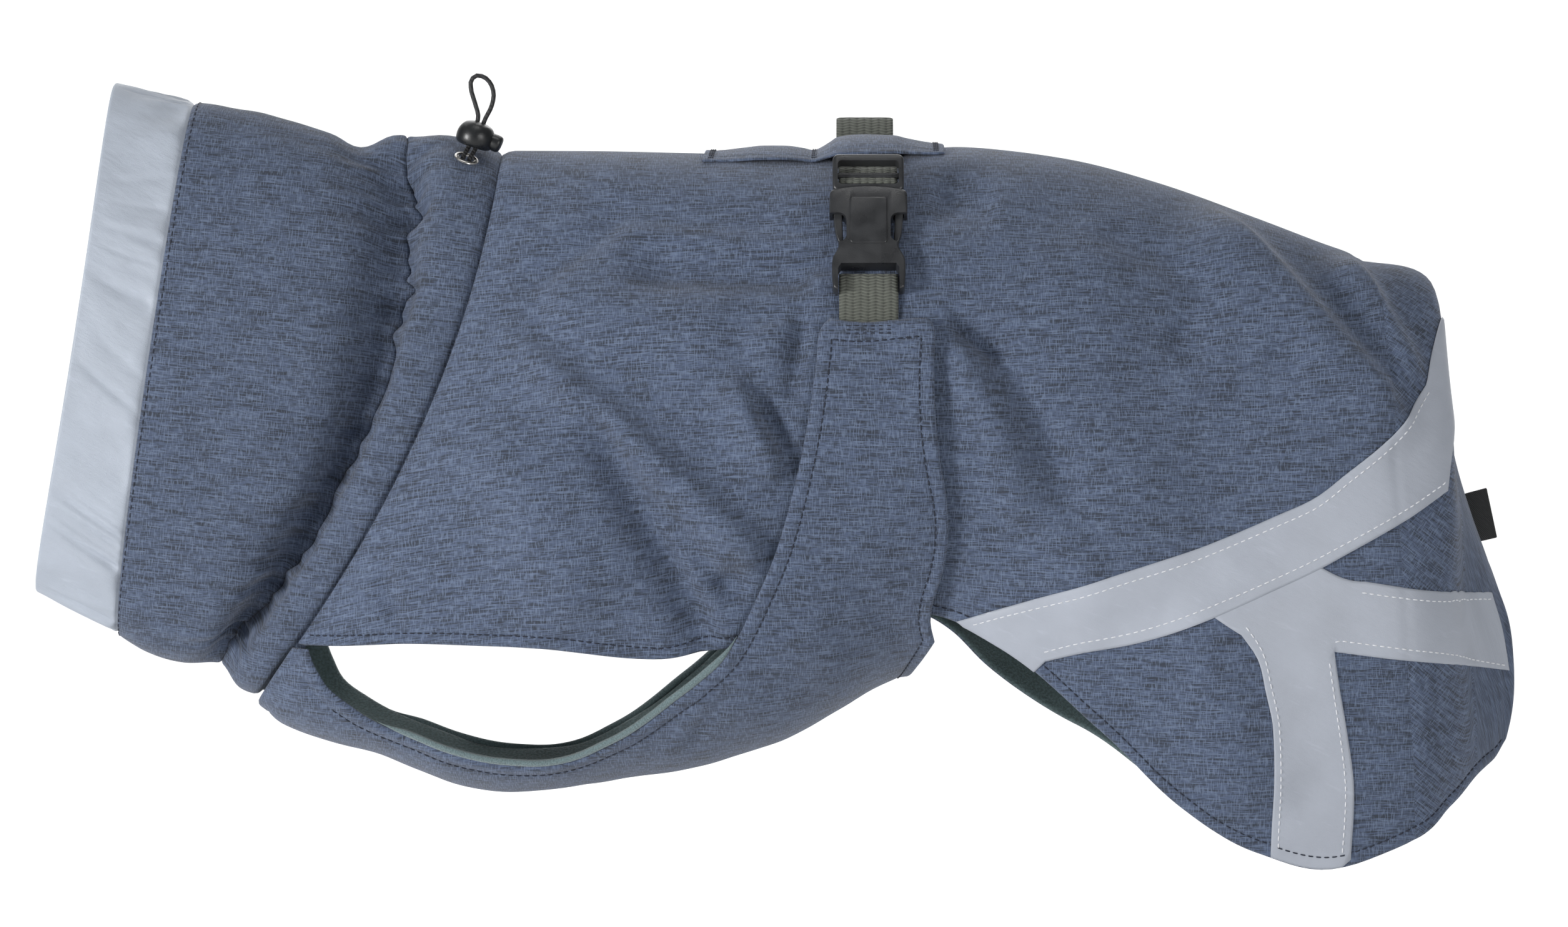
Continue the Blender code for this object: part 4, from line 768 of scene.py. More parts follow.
def to_outline(outline, points, closed=True):
    """Distance of each point to an outline."""
    best = np.full(len(points), 1e9)
    ends = np.roll(outline, -1, axis=0) if closed else outline[1:]
    for start, end in zip(outline, ends):
        run = end - start
        share = np.clip(((points - start) @ run) / max(run @ run, 1e-9), 0, 1)
        best = np.minimum(best, np.linalg.norm(points - start - share[:, None] * run, axis=1))
    return best


def dense(outline, spacing):
    closed = np.vstack([outline, outline[:1]])
    points = []
    for start, end in zip(closed[:-1], closed[1:]):
        parts = max(1, int(round(np.linalg.norm(end - start) / spacing)))
        points += [start + (end - start) * k / parts for k in range(parts)]
    return np.array(points)


def inset(outline, distance):
    """The outline moved in by a distance, in order, without the points that would cross."""
    run = np.roll(outline, -1, axis=0) - np.roll(outline, 1, axis=0)
    run /= np.maximum(np.linalg.norm(run, axis=1, keepdims=True), 1e-9)
    area = np.sum(outline[:, 0] * np.roll(outline[:, 1], -1) - np.roll(outline[:, 0], -1) * outline[:, 1])
    way = np.stack([-run[:, 1], run[:, 0]], 1) * np.sign(area)
    moved = outline + way * distance
    kept = inside(outline, moved) & (to_outline(outline, moved) > 0.93 * distance)
    return moved[kept]


def patch(outline, spacing, rings=()):
    """Places, triangles and edge distances of a flat outline, with even rows of places inside."""
    outline = dense(outline, spacing)
    low, high = outline.min(axis=0), outline.max(axis=0)
    filling = []
    row_step = spacing * math.sqrt(3) / 2
    for r, y in enumerate(np.arange(low[1], high[1], row_step)):
        filling += [(x, y) for x in np.arange(low[0] + (r % 2) * spacing / 2, high[0], spacing)]
    filling = np.array(filling)
    filling = filling[inside(outline, filling)]
    clear = max(rings, default=0.0) + 0.6 * spacing
    filling = filling[to_outline(outline, filling) > clear]
    extra = [inset(outline, d) for d in rings]
    places = np.concatenate([outline, *extra, filling])
    edges = [(k, (k + 1) % len(outline)) for k in range(len(outline))]
    made = delaunay_2d_cdt([Vector(p) for p in places], edges, [], 0, 1e-5, False)
    flat = np.array([tuple(v) for v in made[0]])
    faces = np.array([f for f in made[2] if len(f) == 3])
    faces = faces[inside(outline, flat[faces].mean(axis=1))]
    a, b, c = flat[faces[:, 0]], flat[faces[:, 1]], flat[faces[:, 2]]
    turn = (b[:, 0] - a[:, 0]) * (c[:, 1] - a[:, 1]) - (b[:, 1] - a[:, 1]) * (c[:, 0] - a[:, 0])
    faces[turn > 0] = faces[turn > 0][:, [0, 2, 1]]
    used, renumbered = np.unique(faces, return_inverse=True)
    triangles = [tuple(int(v) for v in f) for f in renumbered.reshape(faces.shape)]
    return flat[used], triangles, to_outline(outline, flat[used])


def lay(name, surface, sections, outline, spacing, wall, lift, side, looks, rings=(), groove=None, rim_look=0):
    """A piece cut to a flat outline of (along, scaled angle) and laid on a surface."""
    places, faces, edge = patch(outline, spacing, rings)
    along, angle = places[:, 0], places[:, 1] / FLAT_SCALE
    point, normal = surface(along, side * angle), fine_outward(surface, along, side * angle)
    low, high = round_off(edge, wall)
    if groove:
        low = low + HEM_GROOVE * dip(edge - groove, 0.9) - 0.25 * dip(edge - 0.5 * groove, 1.8)
    outer = point + normal * (lift - low)[:, None]
    inner = point + normal * (lift - high)[:, None]
    if side < 0:
        faces = [f[::-1] for f in faces]
    weave = np.stack([point[:, 0], girth(sections, along, angle)], -1)
    return cloth(name, outer, inner, faces, weave, looks, rim_look)


def belly_outline():
    """The belly panel's edge as along and scaled angle, near side first, then round the far side."""
    front = locate(belly_surface, smooth_path(BELLY_FRONT_EDGE, 3.0))
    back = locate(belly_surface, smooth_path(BELLY_BACK_EDGE, 3.0))
    start = np.array([[0.1, BODY.hem_angle(np.array(0.1)) + 0.004]])
    half_way = front[0][0] * 0.5
    corner = np.array([[half_way, BODY.hem_angle(np.array(half_way)) + 0.004]])
    first, last = front[-1], back[0]
    strap_end = [first + (last - first) * k / 12 for k in range(1, 12)]
    last_along, last_angle = back[-1]
    shares = np.linspace(0, 1, 13)[1:]
    rear = np.stack([last_along - BELLY_BACK_CUT * np.sin(math.pi / 2 * shares),
                     last_angle + (math.pi - last_angle) * shares], 1)
    half = np.vstack([start, corner, front, strap_end, back, rear])
    far = np.stack([half[:, 0], 2 * math.pi - half[:, 1]], 1)[-2::-1]
    neck = [(0.1, a) for a in np.linspace(far[-1][1], start[0][1], 24)[1:-1]]
    return np.vstack([half, far, neck]) * [1.0, FLAT_SCALE], front


def along_at_top(z):
    along = np.linspace(GORE_ALONG, REAR_ALONG, 400)
    return along[np.argmin(np.abs(BODY.read("top_z", along) - z))]


def tape_outlines():
    """Outlines of the long tape and its branch as along and scaled angle, on the near side."""
    def place(points, spacing=4.0):
        here = locate(BODY.plain, smooth_path(points, spacing))
        here[:, 0] = np.minimum(here[:, 0], REAR_ALONG - 0.4)
        here[:, 1] = np.minimum(here[:, 1], BODY.hem_angle(here[:, 0]) - 0.004)
        return here

    def hem(start, end):
        along = np.linspace(start[0], end[0], 12)[1:-1]
        return np.stack([along, BODY.hem_angle(along) - 0.004], 1)

    upper, lower = place(STRIPE_UPPER), place(STRIPE_LOWER)
    back = np.array([(along_at_top(z), 0.5 / BODY.read("half", along_at_top(z))) for z in STRIPE_BACK_TOP_Z])
    stripe = np.vstack([upper, back, lower, hem(lower[-1], upper[0])])
    join = [(STRIPE_LOWER[k][0] - 0.4 * BRANCH_TUCK, STRIPE_LOWER[k][1] + BRANCH_TUCK) for k in BRANCH_JOIN]
    leg_back, leg_front = place(BRANCH_LEG_BACK), place(BRANCH_LEG_FRONT)
    arm_upper, arm_lower = place(BRANCH_ARM_UPPER), place(BRANCH_ARM_LOWER)
    branch = np.vstack([place(join), arm_upper, arm_lower, leg_back, hem(leg_back[-1], leg_front[0]), leg_front])
    flat = [1.0, FLAT_SCALE]
    sewn = ([upper * flat, lower * flat], [arm_upper * flat, np.vstack([arm_lower, leg_back]) * flat, leg_front * flat])
    return (stripe * flat, sewn[0]), (branch * flat, sewn[1])


def along_edges(edges, distance):
    """Keeps the places that lie a stitch's distance from the sewn edges of a tape."""
    def keep(places):
        near = np.full(len(places), 1e9)
        for edge in edges:
            near = np.minimum(near, to_outline(edge, places, closed=False))
        return near < 1.2 * distance
    return keep


def stitches(name, runs, look, dash=2.3, gap=1.0, radius=0.24):
    """Thread dashes along lines; each run is points and the normals there."""
    profile = ((0.0, 0.35, -0.5), (0.2, 1.0, 0.2), (0.5, 1.0, 0.45), (0.8, 1.0, 0.2), (1.0, 0.35, -0.5))
    points, faces = [], []
    for spots, normals in runs:
        length = run_lengths(spots, 0)
        for start in np.arange(0.5 * gap, length[-1] - dash, dash + gap):
            at = start + dash * np.array([row[0] for row in profile])
            centre = np.stack([np.interp(at, length, spots[:, k]) for k in range(3)], 1)
            up = np.stack([np.interp(at, length, normals[:, k]) for k in range(3)], 1)
            way = centre[-1] - centre[0]
            way = way / max(np.linalg.norm(way), 1e-6)
            across = np.cross(up, way)
            first = len(points)
            for (_, size, height), c, n, s in zip(profile, centre, up, across):
                for turn in np.arange(5) * 2 * math.pi / 5:
                    around = n * math.cos(turn) + s * math.sin(turn)
                    points.append(c + n * height * radius + around * radius * size)
            faces += [tuple(first + v for v in f) for f in grid_faces(5, 5, closed=True, flip=True)]
            faces += [tuple(first + k for k in range(5)), tuple(first + 20 + k for k in (4, 3, 2, 1, 0))]
    return make_object(name, points, faces, [look])


def line_on(surface, along, angle, lift=0.0):
    along, angle = np.asarray(along, float), np.asarray(angle, float)
    normal = fine_outward(surface, along, angle)
    return surface(along, angle) + normal * lift, normal


def outline_line(surface, outline, distance, side, lift, keep=None):
    """The line along a piece's edge, moved in by a distance, on the surface."""
    places = inset(dense(outline, 1.5), distance)
    if keep is not None:
        places = places[keep(places)]
    return line_on(surface, places[:, 0], side * places[:, 1] / FLAT_SCALE, lift)


def on_near_front(places):
    """Keeps the belly panel's near half, without its corner at the neck."""
    return (places[:, 1] < math.pi * FLAT_SCALE) & (places[:, 0] > 26.0)


def broken(run, most=6.0):
    """A line split where its points jump."""
    spots, normals = run
    cuts = np.nonzero(np.linalg.norm(np.diff(spots, axis=0), axis=1) > most)[0] + 1
    parts = zip(np.split(spots, cuts), np.split(normals, cuts))
    return [(s, n) for s, n in parts if len(s) > 3]


def lining_roll(name, edge, side, look):
    """The lining's rolled edge along the leg opening."""
    x = belly_skin(edge[:, 0], edge[:, 1])[:, 0]
    edge = edge[(x > ROLL_START_X) & (x < ROLL_END_X)]
    outer = belly_skin(edge[:, 0], edge[:, 1])
    normal = fine_outward(belly_skin, edge[:, 0], edge[:, 1])
    tangent = np.gradient(outer, axis=0)
    tangent /= np.linalg.norm(tangent, axis=1, keepdims=True)
    away = np.cross(normal, tangent)
    share = np.linspace(0, 1, len(edge))
    radius = (ROLL_RADIUS * ramp(np.minimum(share, 1 - share) * 9 + 0.12))[:, None]
    middle = outer - normal * STRAP_WALL * 0.6 + away * (0.35 * ROLL_RADIUS + radius * 0.4)
    turns = np.arange(14) * 2 * math.pi / 14
    rings = [middle + (away * math.cos(t) * 1.15 + normal * math.sin(t)) * radius for t in turns]
    points = np.stack(rings, axis=1).reshape(-1, 3)
    if side < 0:
        points = points * [1, -1, 1]
    weave = np.stack([np.repeat(run_lengths(outer, 0), 14), np.tile(turns * ROLL_RADIUS, len(edge))], 1)
    return make_object(name, points, grid_faces(len(edge), 14, closed=True, flip=side < 0), [look], weave=weave)


def spine_loop(looks):
    """The strip over the spine, tacked down in three places and raised between them."""
    tops = np.linspace(0, GORE_ALONG, 400)
    shares = crowded(90, EDGE_STEPS / 100.0, EDGE_STEPS / 100.0)
    x = SPINE_X0 + (SPINE_X1 - SPINE_X0) * shares
    along = np.interp(x, BODY.read("top_x", tops), tops)
    reach = np.arcsin((SPINE_HALF / BODY.read("half", along)) ** (1 / SIDE_SHAPE))
    across = 2 * crowded(48, EDGE_STEPS / 60.0, EDGE_STEPS / 60.0) - 1
    angle = reach[:, None] * (np.sign(across) * np.abs(across) ** (1 / SIDE_SHAPE))[None, :]
    knots, lifts = np.array(SPINE_LIFTS).T
    lift = smooth_through(knots, lifts, x)[:, None] * (1 - (1 - SPINE_EDGE_SHARE) * across[None, :] ** 2)
    lift = np.maximum(lift - 0.4, 0.2) + SPINE_SHOWN
    along = np.repeat(along[:, None], len(across), axis=1)
    normal = outward(BODY.plain, along, angle)
    point = BODY.plain(along, angle) + normal * lift[..., None]
    down, back = run_lengths(point, 1), run_lengths(point, 0)
    edge = np.minimum(np.minimum(down, down[:, -1:] - down), np.minimum(back, back[-1:] - back))
    low, high = round_off(edge, SPINE_SHOWN)
    low = low + 0.3 * dip(edge - 4.0, 0.8)
    outer, inner = point - normal * low[..., None], point - normal * high[..., None]
    weave = np.stack([point[..., 0], girth(BODY, along, angle)], -1)
    made = cloth("spine_strip", outer, inner, grid_faces(len(x), len(across)), weave, looks)
    tacks = []
    for spot in SPINE_TACKS:
        row = int(np.argmin(np.abs(x - spot)))
        tacks += [(point[row, 4:-4] + [off, 0.0, 0.0], normal[row, 4:-4]) for off in (-0.8, 0.0, 0.8)]
    return made, plain_cut(BODY, along, angle), tacks


def strap(name, path, side, look):
    """Webbing with thin rounded selvedges, swept along a path in the (y, z) plane."""
    path = smooth_path(path, 1.2)
    along = np.gradient(path, axis=0)
    along /= np.linalg.norm(along, axis=1, keepdims=True)
    out = np.stack([along[:, 1], -along[:, 0]], 1)
    if out[0][0] > 0:
        out = -out
    half, thick = WEB_HALF, 0.5 * WEB_WALL
    profile = [(a, math.sqrt(max(0.0, 1 - (abs(a) / half) ** 10))) for a in np.linspace(-half, half, 23)]
    ring = [(a, max(t, 0.15) * thick) for a, t in profile] + [(a, -max(t, 0.15) * thick) for a, t in profile[::-1]]
    rows = []
    for across, lift in ring:
        spot = path + out * lift
        rows.append(np.stack([np.full(len(path), STRAP_X + across), spot[:, 0] * side, spot[:, 1]], 1))
    points = np.stack(rows, axis=1).reshape(-1, 3)
    length = run_lengths(path, 0)
    weave = np.stack([np.tile([a for a, _ in ring], len(path)), np.repeat(length, len(ring))], 1)
    faces = grid_faces(len(path), len(ring), closed=True, flip=True)
    faces += [tuple(range(len(ring))), tuple(len(points) - 1 - k for k in range(len(ring)))]
    made = make_object(name, points, faces, [look], weave=weave)
    mesh = made.data
    if sum(p.area * p.normal.dot(p.center) for p in mesh.polygons) < 0:
        mesh.flip_normals()
    return made


def plate(name, outline, low_out, high_out, side, bevel, looks):
    """An outline in the buckle's face, given as (across, up), as a plate with rounded edges."""
    outline = np.array(outline)
    back = buckle_points(outline[:, 0], outline[:, 1], np.full(len(outline), low_out), side)
    front = buckle_points(outline[:, 0], outline[:, 1], np.full(len(outline), high_out), side)
    count = len(outline)
    faces = [tuple(range(count))[::-1], tuple(count + k for k in range(count))]
    faces += [(k, (k + 1) % count, count + (k + 1) % count, count + k) for k in range(count)]
    if side < 0:
        faces = [face[::-1] for face in faces]
    made = make_object(name, np.concatenate([back, front]), faces, looks)
    if bevel:
        step = made.modifiers.new("round", "BEVEL")
        step.width, step.segments, step.limit_method = bevel * MM, 3, "ANGLE"
        step.angle_limit = math.radians(40)
    return made


def combine(target, other, operation):
    step = target.modifiers.new("shape", "BOOLEAN")
    step.operation, step.object, step.solver = operation, other, "EXACT"
    return other


def settle(target, helpers):
    """Applies a piece's modifiers and removes the helpers that they used."""
    depsgraph = bpy.context.evaluated_depsgraph_get()
    mesh = bpy.data.meshes.new_from_object(target.evaluated_get(depsgraph))
    target.modifiers.clear()
    target.data = mesh
    mesh.shade_smooth()
    mesh.set_sharp_from_angle(angle=math.radians(32))
    for helper in helpers:
        bpy.data.objects.remove(helper, do_unlink=True)


def buckle(side, word, look):
    """A fastened side-release buckle, its edges rounded: the plug above, the socket below."""
    length = float(np.linalg.norm(np.array(BUCKLE_TOP) - np.array(BUCKLE_LOW)))
    split = length - PLUG_LENGTH
    thick = BUCKLE_HALF_THICK
    helpers, looks = [], [look]

    def part(outline, low_out, high_out, bevel=0.0, name="helper"):
        return plate(name, outline, low_out, high_out, side, bevel, looks)

    plug = part(rounded(-PLUG_HALF, PLUG_HALF, split, length, 2.5, 6), -thick * 0.8, thick * 0.8, 1.1, "plug_" + word)
    window = part(rounded(-WINDOW_HALF, WINDOW_HALF, split + PLUG_RAIL, length - PLUG_RAIL, 1.6, 5), -9.0, 9.0)
    helpers.append(combine(plug, window, "DIFFERENCE"))
    bar = part(rounded(-WINDOW_HALF - 0.5, WINDOW_HALF + 0.5, split + 7.4, split + 9.6, 1.0, 5), -thick * 0.7, -thick * 0.1, 0.5)
    helpers.append(combine(plug, bar, "UNION"))
    socket_outline = smooth_path(both_halves(SOCKET_HALF) + [SOCKET_HALF[0]], 0.9)[:-1]
    socket = part(socket_outline, -thick, thick, 1.3, "socket_" + word)
    helpers.append(combine(socket, part(both_halves(MOUTH_HALF), -9.0, 9.0), "DIFFERENCE"))
    for hand in (-1, 1):
        arm = [(hand * a, u) for a, u in PLUG_ARM][::hand]
        helpers.append(combine(plug, part(arm, -thick * 0.45, thick * 0.45, 0.5), "UNION"))
        edge = sorted((hand * (PLUG_ARM[6][0] - 0.4), hand * (PLUG_ARM[5][0] + 0.3)))
        slot = part(rounded(edge[0], edge[1], NOTCH[3] - 3.0, split + 3.0, 0.4), -thick * 0.45 - 0.3, thick * 0.45 + 0.3)
        helpers.append(combine(socket, slot, "DIFFERENCE"))
        edge = sorted((hand * NOTCH[0], hand * NOTCH[1]))
        notch = part(rounded(edge[0], edge[1], NOTCH[2], NOTCH[3], 3.2, 6), -9.0, 9.0)
        helpers.append(combine(socket, notch, "DIFFERENCE"))
    crest = part(rounded(-CREST[0], CREST[0], CREST[1], CREST[2], 1.4, 5), thick - 1.0, thick + 0.5, 0.5)
    helpers.append(combine(socket, crest, "UNION"))
    settle(plug, [])
    settle(socket, helpers)
    return plug, socket


def turned(name, profile, centre, axis, segments, look):
    """A turned piece from (radius, height) points; a closed ring unless it starts on the axis."""
    up = Vector(axis).normalized()
    side = up.orthogonal().normalized()
    other = up.cross(side)
    solid = profile[0][0] == 0.0
    profile = smooth_path(list(profile) + ([] if solid else [profile[0]]), 0.35)
    profile = profile if solid else profile[:-1]
    points = []
    for turn in np.arange(segments) * 2 * math.pi / segments:
        way = side * math.cos(turn) + other * math.sin(turn)
        points += [tuple(Vector(centre) + way * float(r) + up * float(h)) for r, h in profile]
    count = len(profile)
    faces = []
    for k in range(segments):
        n = (k + 1) % segments
        for m in range(count - 1 if solid else count):
            w = (m + 1) % count
            faces.append((k * count + m, n * count + m, n * count + w, k * count + w))
    return make_object(name, points, faces, [look], sharp=40)


def add(tree, kind, sockets=(), **settings):
    """A shader node with its sockets set, each to a value or another node's output."""
    made = tree.nodes.new("ShaderNode" + kind)
    for key, value in settings.items():
        setattr(made, key, value)
    for key, value in dict(sockets).items():
        if isinstance(value, bpy.types.NodeSocket):
            tree.links.new(value, made.inputs[key])
        else:
            made.inputs[key].default_value = value
    return made


def new_look(name, colour, roughness, **values):
    made = bpy.data.materials.new(name)
    made.use_nodes = True
    tree = made.node_tree
    shader = tree.nodes["Principled BSDF"]
    shader.inputs["Base Color"].default_value = (*colour, 1.0)
    shader.inputs["Roughness"].default_value = roughness
    for key, value in values.items():
        shader.inputs[key.replace("_", " ")].default_value = value
    return made, tree, shader


def streaks(tree, coords, across, down, detail=2.0, turn=0.0, roughness=0.55):
    """Noise stretched to the given numbers of cells a metre across and down the cloth."""
    turned_coords = add(tree, "Mapping", {"Vector": coords, "Rotation": (0.0, 0.0, turn)}).outputs[0]
    scaled = add(tree, "Mapping", {"Vector": turned_coords, "Scale": (across, down, 1.0)}).outputs[0]
    return add(tree, "TexNoise", {"Vector": scaled, "Scale": 1.0, "Detail": detail, "Roughness": roughness},
               noise_dimensions="2D").outputs["Fac"]


def between(tree, value, low, high, to_low=0.0, to_high=1.0):
    return add(tree, "MapRange", {"Value": value, "From Min": low, "From Max": high, "To Min": to_low, "To Max": to_high},
               interpolation_type="SMOOTHSTEP").outputs["Result"]


def mixed(tree, share, first, second, blend="MIX"):
    made = tree.nodes.new("ShaderNodeMix")
    made.data_type, made.blend_type = "RGBA", blend
    for socket, value in ((made.inputs[0], share), (made.inputs[6], first), (made.inputs[7], second)):
        if isinstance(value, bpy.types.NodeSocket):
            tree.links.new(value, socket)
        else:
            socket.default_value = value if not isinstance(value, tuple) else (*value, 1.0)
    return made.outputs[2]


def bump(tree, shader, height, distance, strength=1.0):
    made = add(tree, "Bump", {"Height": height, "Distance": distance, "Strength": strength})
    tree.links.new(made.outputs["Normal"], shader.inputs["Normal"])


def math_node(tree, operation, first, second):
    made = tree.nodes.new("ShaderNodeMath")
    made.operation = operation
    for socket, value in zip(made.inputs, (first, second)):
        if isinstance(value, bpy.types.NodeSocket):
            tree.links.new(value, socket)
        else:
            socket.default_value = value
    return made.outputs[0]


def heather(name, turn=0.0, painted_shade=1.0):
    """Heathered woven shell: dark slubs across, light fine threads down, over a blue ground."""
    # The shade factor scales every colour. Below 1 it is painted shade: a darker copy of the same cloth.
    mid, deep, dark, light = (tuple(painted_shade * c for c in colour) for colour in
                              (HEATHER_MID, HEATHER_DEEP, HEATHER_DARK, HEATHER_LIGHT))
    made, tree, shader = new_look(name, mid, 0.82, Sheen_Weight=0.12, Sheen_Roughness=0.6)
    coords = add(tree, "UVMap", uv_map="weave").outputs[0]
    blotches = streaks(tree, coords, 45.0, 200.0, 3.0, turn)
    slubs = math_node(tree, "ADD", streaks(tree, coords, 75.0, 1450.0, 2.0, turn),
                      math_node(tree, "MULTIPLY", math_node(tree, "SUBTRACT", blotches, 0.5), 0.3))
    fine_slubs = streaks(tree, coords, 260.0, 2100.0, 1.0, turn)
    threads = streaks(tree, coords, 1900.0, 260.0, 1.0, turn)
    pale = streaks(tree, coords, 100.0, 1500.0, 1.0, turn + 0.03)
    colour = mixed(tree, between(tree, blotches, 0.3, 0.7, 0.0, 0.4), mid, deep)
    colour = mixed(tree, between(tree, pale, 0.52, 0.7, 0.0, 0.6), colour, light)
    colour = mixed(tree, between(tree, slubs, 0.49, 0.66, 0.0, 0.92), colour, dark)
    colour = mixed(tree, between(tree, fine_slubs, 0.49, 0.68, 0.0, 0.66), colour, dark)
    colour = mixed(tree, between(tree, threads, 0.5, 0.68, 0.0, 0.58), colour, light)
    tree.links.new(colour, shader.inputs["Base Color"])
    height = math_node(tree, "ADD", threads, math_node(tree, "MULTIPLY", slubs, 0.8))
    bump(tree, shader, height, 0.0005, 0.55)
    return made


def tape_look(name, colour, grain=0.0003):
    """Reflective tape: pale, satin, with a fine grain and faint long wrinkles."""
    made, tree, shader = new_look(name, colour, 0.5, Specular_IOR_Level=0.35)
    coords = add(tree, "UVMap", uv_map="weave").outputs[0]
    cloud = streaks(tree, coords, 30.0, 30.0, 3.0)
    pale_streaks = streaks(tree, coords, 60.0, 320.0, 4.0, 0.4)
    tint = mixed(tree, between(tree, cloud, 0.3, 0.7), tuple(0.95 * c for c in colour), tuple(1.04 * c for c in colour))
    # Paler streaks along the tape, up to 1.35 times its colour.
    tint = mixed(tree, between(tree, pale_streaks, 0.62, 0.8, 0.0, 0.25), tint, tuple(1.35 * c for c in colour))
    tree.links.new(tint, shader.inputs["Base Color"])
    tree.links.new(between(tree, cloud, 0.3, 0.7, 0.42, 0.58), shader.inputs["Roughness"])
    fine = streaks(tree, coords, 2600.0, 2600.0, 1.0)
    wrinkles = streaks(tree, coords, 90.0, 260.0, 3.0, 0.5)
    height = math_node(tree, "ADD", math_node(tree, "MULTIPLY", fine, 0.25), wrinkles)
    bump(tree, shader, height, grain, 0.6)
    return made


def fleece(name, colour, scale=900.0):
    """Brushed lining with a short nap."""
    made, tree, shader = new_look(name, colour, 0.95, Sheen_Weight=0.4, Sheen_Roughness=0.5)
    coords = add(tree, "UVMap", uv_map="weave").outputs[0]
    nap = streaks(tree, coords, scale, scale, 4.0)
    tint = mixed(tree, between(tree, nap, 0.3, 0.7), tuple(0.75 * c for c in colour), tuple(1.2 * c for c in colour))
    tree.links.new(tint, shader.inputs["Base Color"])
    bump(tree, shader, nap, 0.0008, 0.7)
    return made


def webbing_look():
    """Webbing with small staggered ribs across it, plain selvedges at both edges."""
    made, tree, shader = new_look("webbing", WEBBING_COLOUR, 0.75, Sheen_Weight=0.1)
    coords = add(tree, "UVMap", uv_map="weave").outputs[0]
    place = add(tree, "SeparateXYZ", {"Vector": coords})
    across, along = place.outputs[0], place.outputs[1]
    cell = math_node(tree, "MULTIPLY", across, 1 / 0.0031)
    step = math_node(tree, "MULTIPLY", math_node(tree, "PINGPONG", cell, 1.0), 0.5)
    rib = math_node(tree, "SINE", math_node(tree, "MULTIPLY", math_node(
        tree, "ADD", math_node(tree, "MULTIPLY", along, 1 / 0.00125), step), 2 * math.pi), 0.0)
    column = math_node(tree, "SINE", math_node(tree, "MULTIPLY", cell, math.pi), 0.0)
    rib_height_and_shade = math_node(tree, "ADD", rib, math_node(tree, "MULTIPLY", math_node(tree, "ABSOLUTE", column, 0.0), 1.2))
    fuzz = streaks(tree, coords, 700.0, 700.0, 3.0)
    # The rib height tints the colour as well: painted shade in the grooves between ribs, painted light on the rib tops.
    tint = mixed(tree, between(tree, rib_height_and_shade, -0.8, 1.6), tuple(0.45 * c for c in WEBBING_COLOUR), tuple(1.25 * c for c in WEBBING_COLOUR))
    tint = mixed(tree, between(tree, fuzz, 0.4, 0.7, 0.0, 0.3), tint, tuple(1.5 * c for c in WEBBING_COLOUR))
    tree.links.new(tint, shader.inputs["Base Color"])
    bump(tree, shader, rib_height_and_shade, 0.0003, 0.8)
    return made


def plastic_look(name, colour):
    """Moulded plastic with a spark-eroded grain."""
    made, tree, shader = new_look(name, colour, 0.4)
    coords = add(tree, "TexCoord").outputs["Object"]
    grain = add(tree, "TexNoise", {"Vector": coords, "Scale": 2600.0, "Detail": 2.0}).outputs["Fac"]
    smears = add(tree, "TexNoise", {"Vector": coords, "Scale": 120.0, "Detail": 4.0}).outputs["Fac"]
    tree.links.new(between(tree, smears, 0.3, 0.7, 0.26, 0.4), shader.inputs["Roughness"])
    tint = mixed(tree, between(tree, smears, 0.35, 0.7), colour, tuple(1.35 * c for c in colour))
    tree.links.new(tint, shader.inputs["Base Color"])
    bump(tree, shader, grain, 0.00008, 0.5)
    return made


def cord_look(name, colour, scale):
    """Tightly woven black cord or tape."""
    made, tree, shader = new_look(name, colour, 0.6)
    coords = add(tree, "TexCoord").outputs["Object"]
    weave = add(tree, "TexWave", {"Vector": coords, "Scale": scale, "Distortion": 1.5, "Detail": 1.0},
                wave_type="BANDS", bands_direction="DIAGONAL").outputs["Fac"]
    # The bands tint the colour from 0.6 to 1.8 times: painted shade between the strands, painted light along them.
    tint = mixed(tree, weave, tuple(0.6 * c for c in colour), tuple(1.8 * c for c in colour))
    tree.links.new(tint, shader.inputs["Base Color"])
    bump(tree, shader, weave, 0.0002, 0.7)
    return made


def thread_look(name, colour):
    made, tree, shader = new_look(name, colour, 0.7)
    coords = add(tree, "TexCoord").outputs["Object"]
    twist = add(tree, "TexNoise", {"Vector": coords, "Scale": 3000.0, "Detail": 1.0}).outputs["Fac"]
    tint = mixed(tree, twist, tuple(0.7 * c for c in colour), tuple(1.3 * c for c in colour))
    tree.links.new(tint, shader.inputs["Base Color"])
    return made


def steel_look():
    made, tree, shader = new_look("plated_steel", (0.62, 0.6, 0.57), 0.28, Metallic=1.0)
    coords = add(tree, "TexCoord").outputs["Object"]
    wear = add(tree, "TexNoise", {"Vector": coords, "Scale": 900.0, "Detail": 4.0}).outputs["Fac"]
    tree.links.new(between(tree, wear, 0.3, 0.7, 0.2, 0.45), shader.inputs["Roughness"])
    return made


def make_camera():
    data = bpy.data.cameras.new("camera")
    data.sensor_width = 36.0
    data.lens = 36.0 * CAMERA_DISTANCE / (PHOTO_WIDTH * MM_PER_PIXEL)
    data.clip_end = 50.0
    camera = bpy.data.objects.new("camera", data)
    bpy.context.scene.collection.objects.link(camera)
    tilt = math.radians(CAMERA_ELEVATION)
    back = Vector((0.0, -math.cos(tilt), math.sin(tilt)))
    aim = Vector(tuple((np.array(CAMERA_AIM) - ORIGIN) * MM))
    camera.location = aim + back * CAMERA_DISTANCE * MM
    camera.rotation_euler = (math.radians(90 - CAMERA_ELEVATION), 0.0, 0.0)
    bpy.context.scene.camera = camera


def area_light(name, place, aim, size, power):
    data = bpy.data.lights.new(name, "AREA")
    data.shape, data.size, data.size_y, data.energy = "RECTANGLE", size[0], size[1], power
    light = bpy.data.objects.new(name, data)
    bpy.context.scene.collection.objects.link(light)
    light.location = place
    light.rotation_euler = (Vector(aim) - Vector(place)).to_track_quat("-Z", "Y").to_euler()


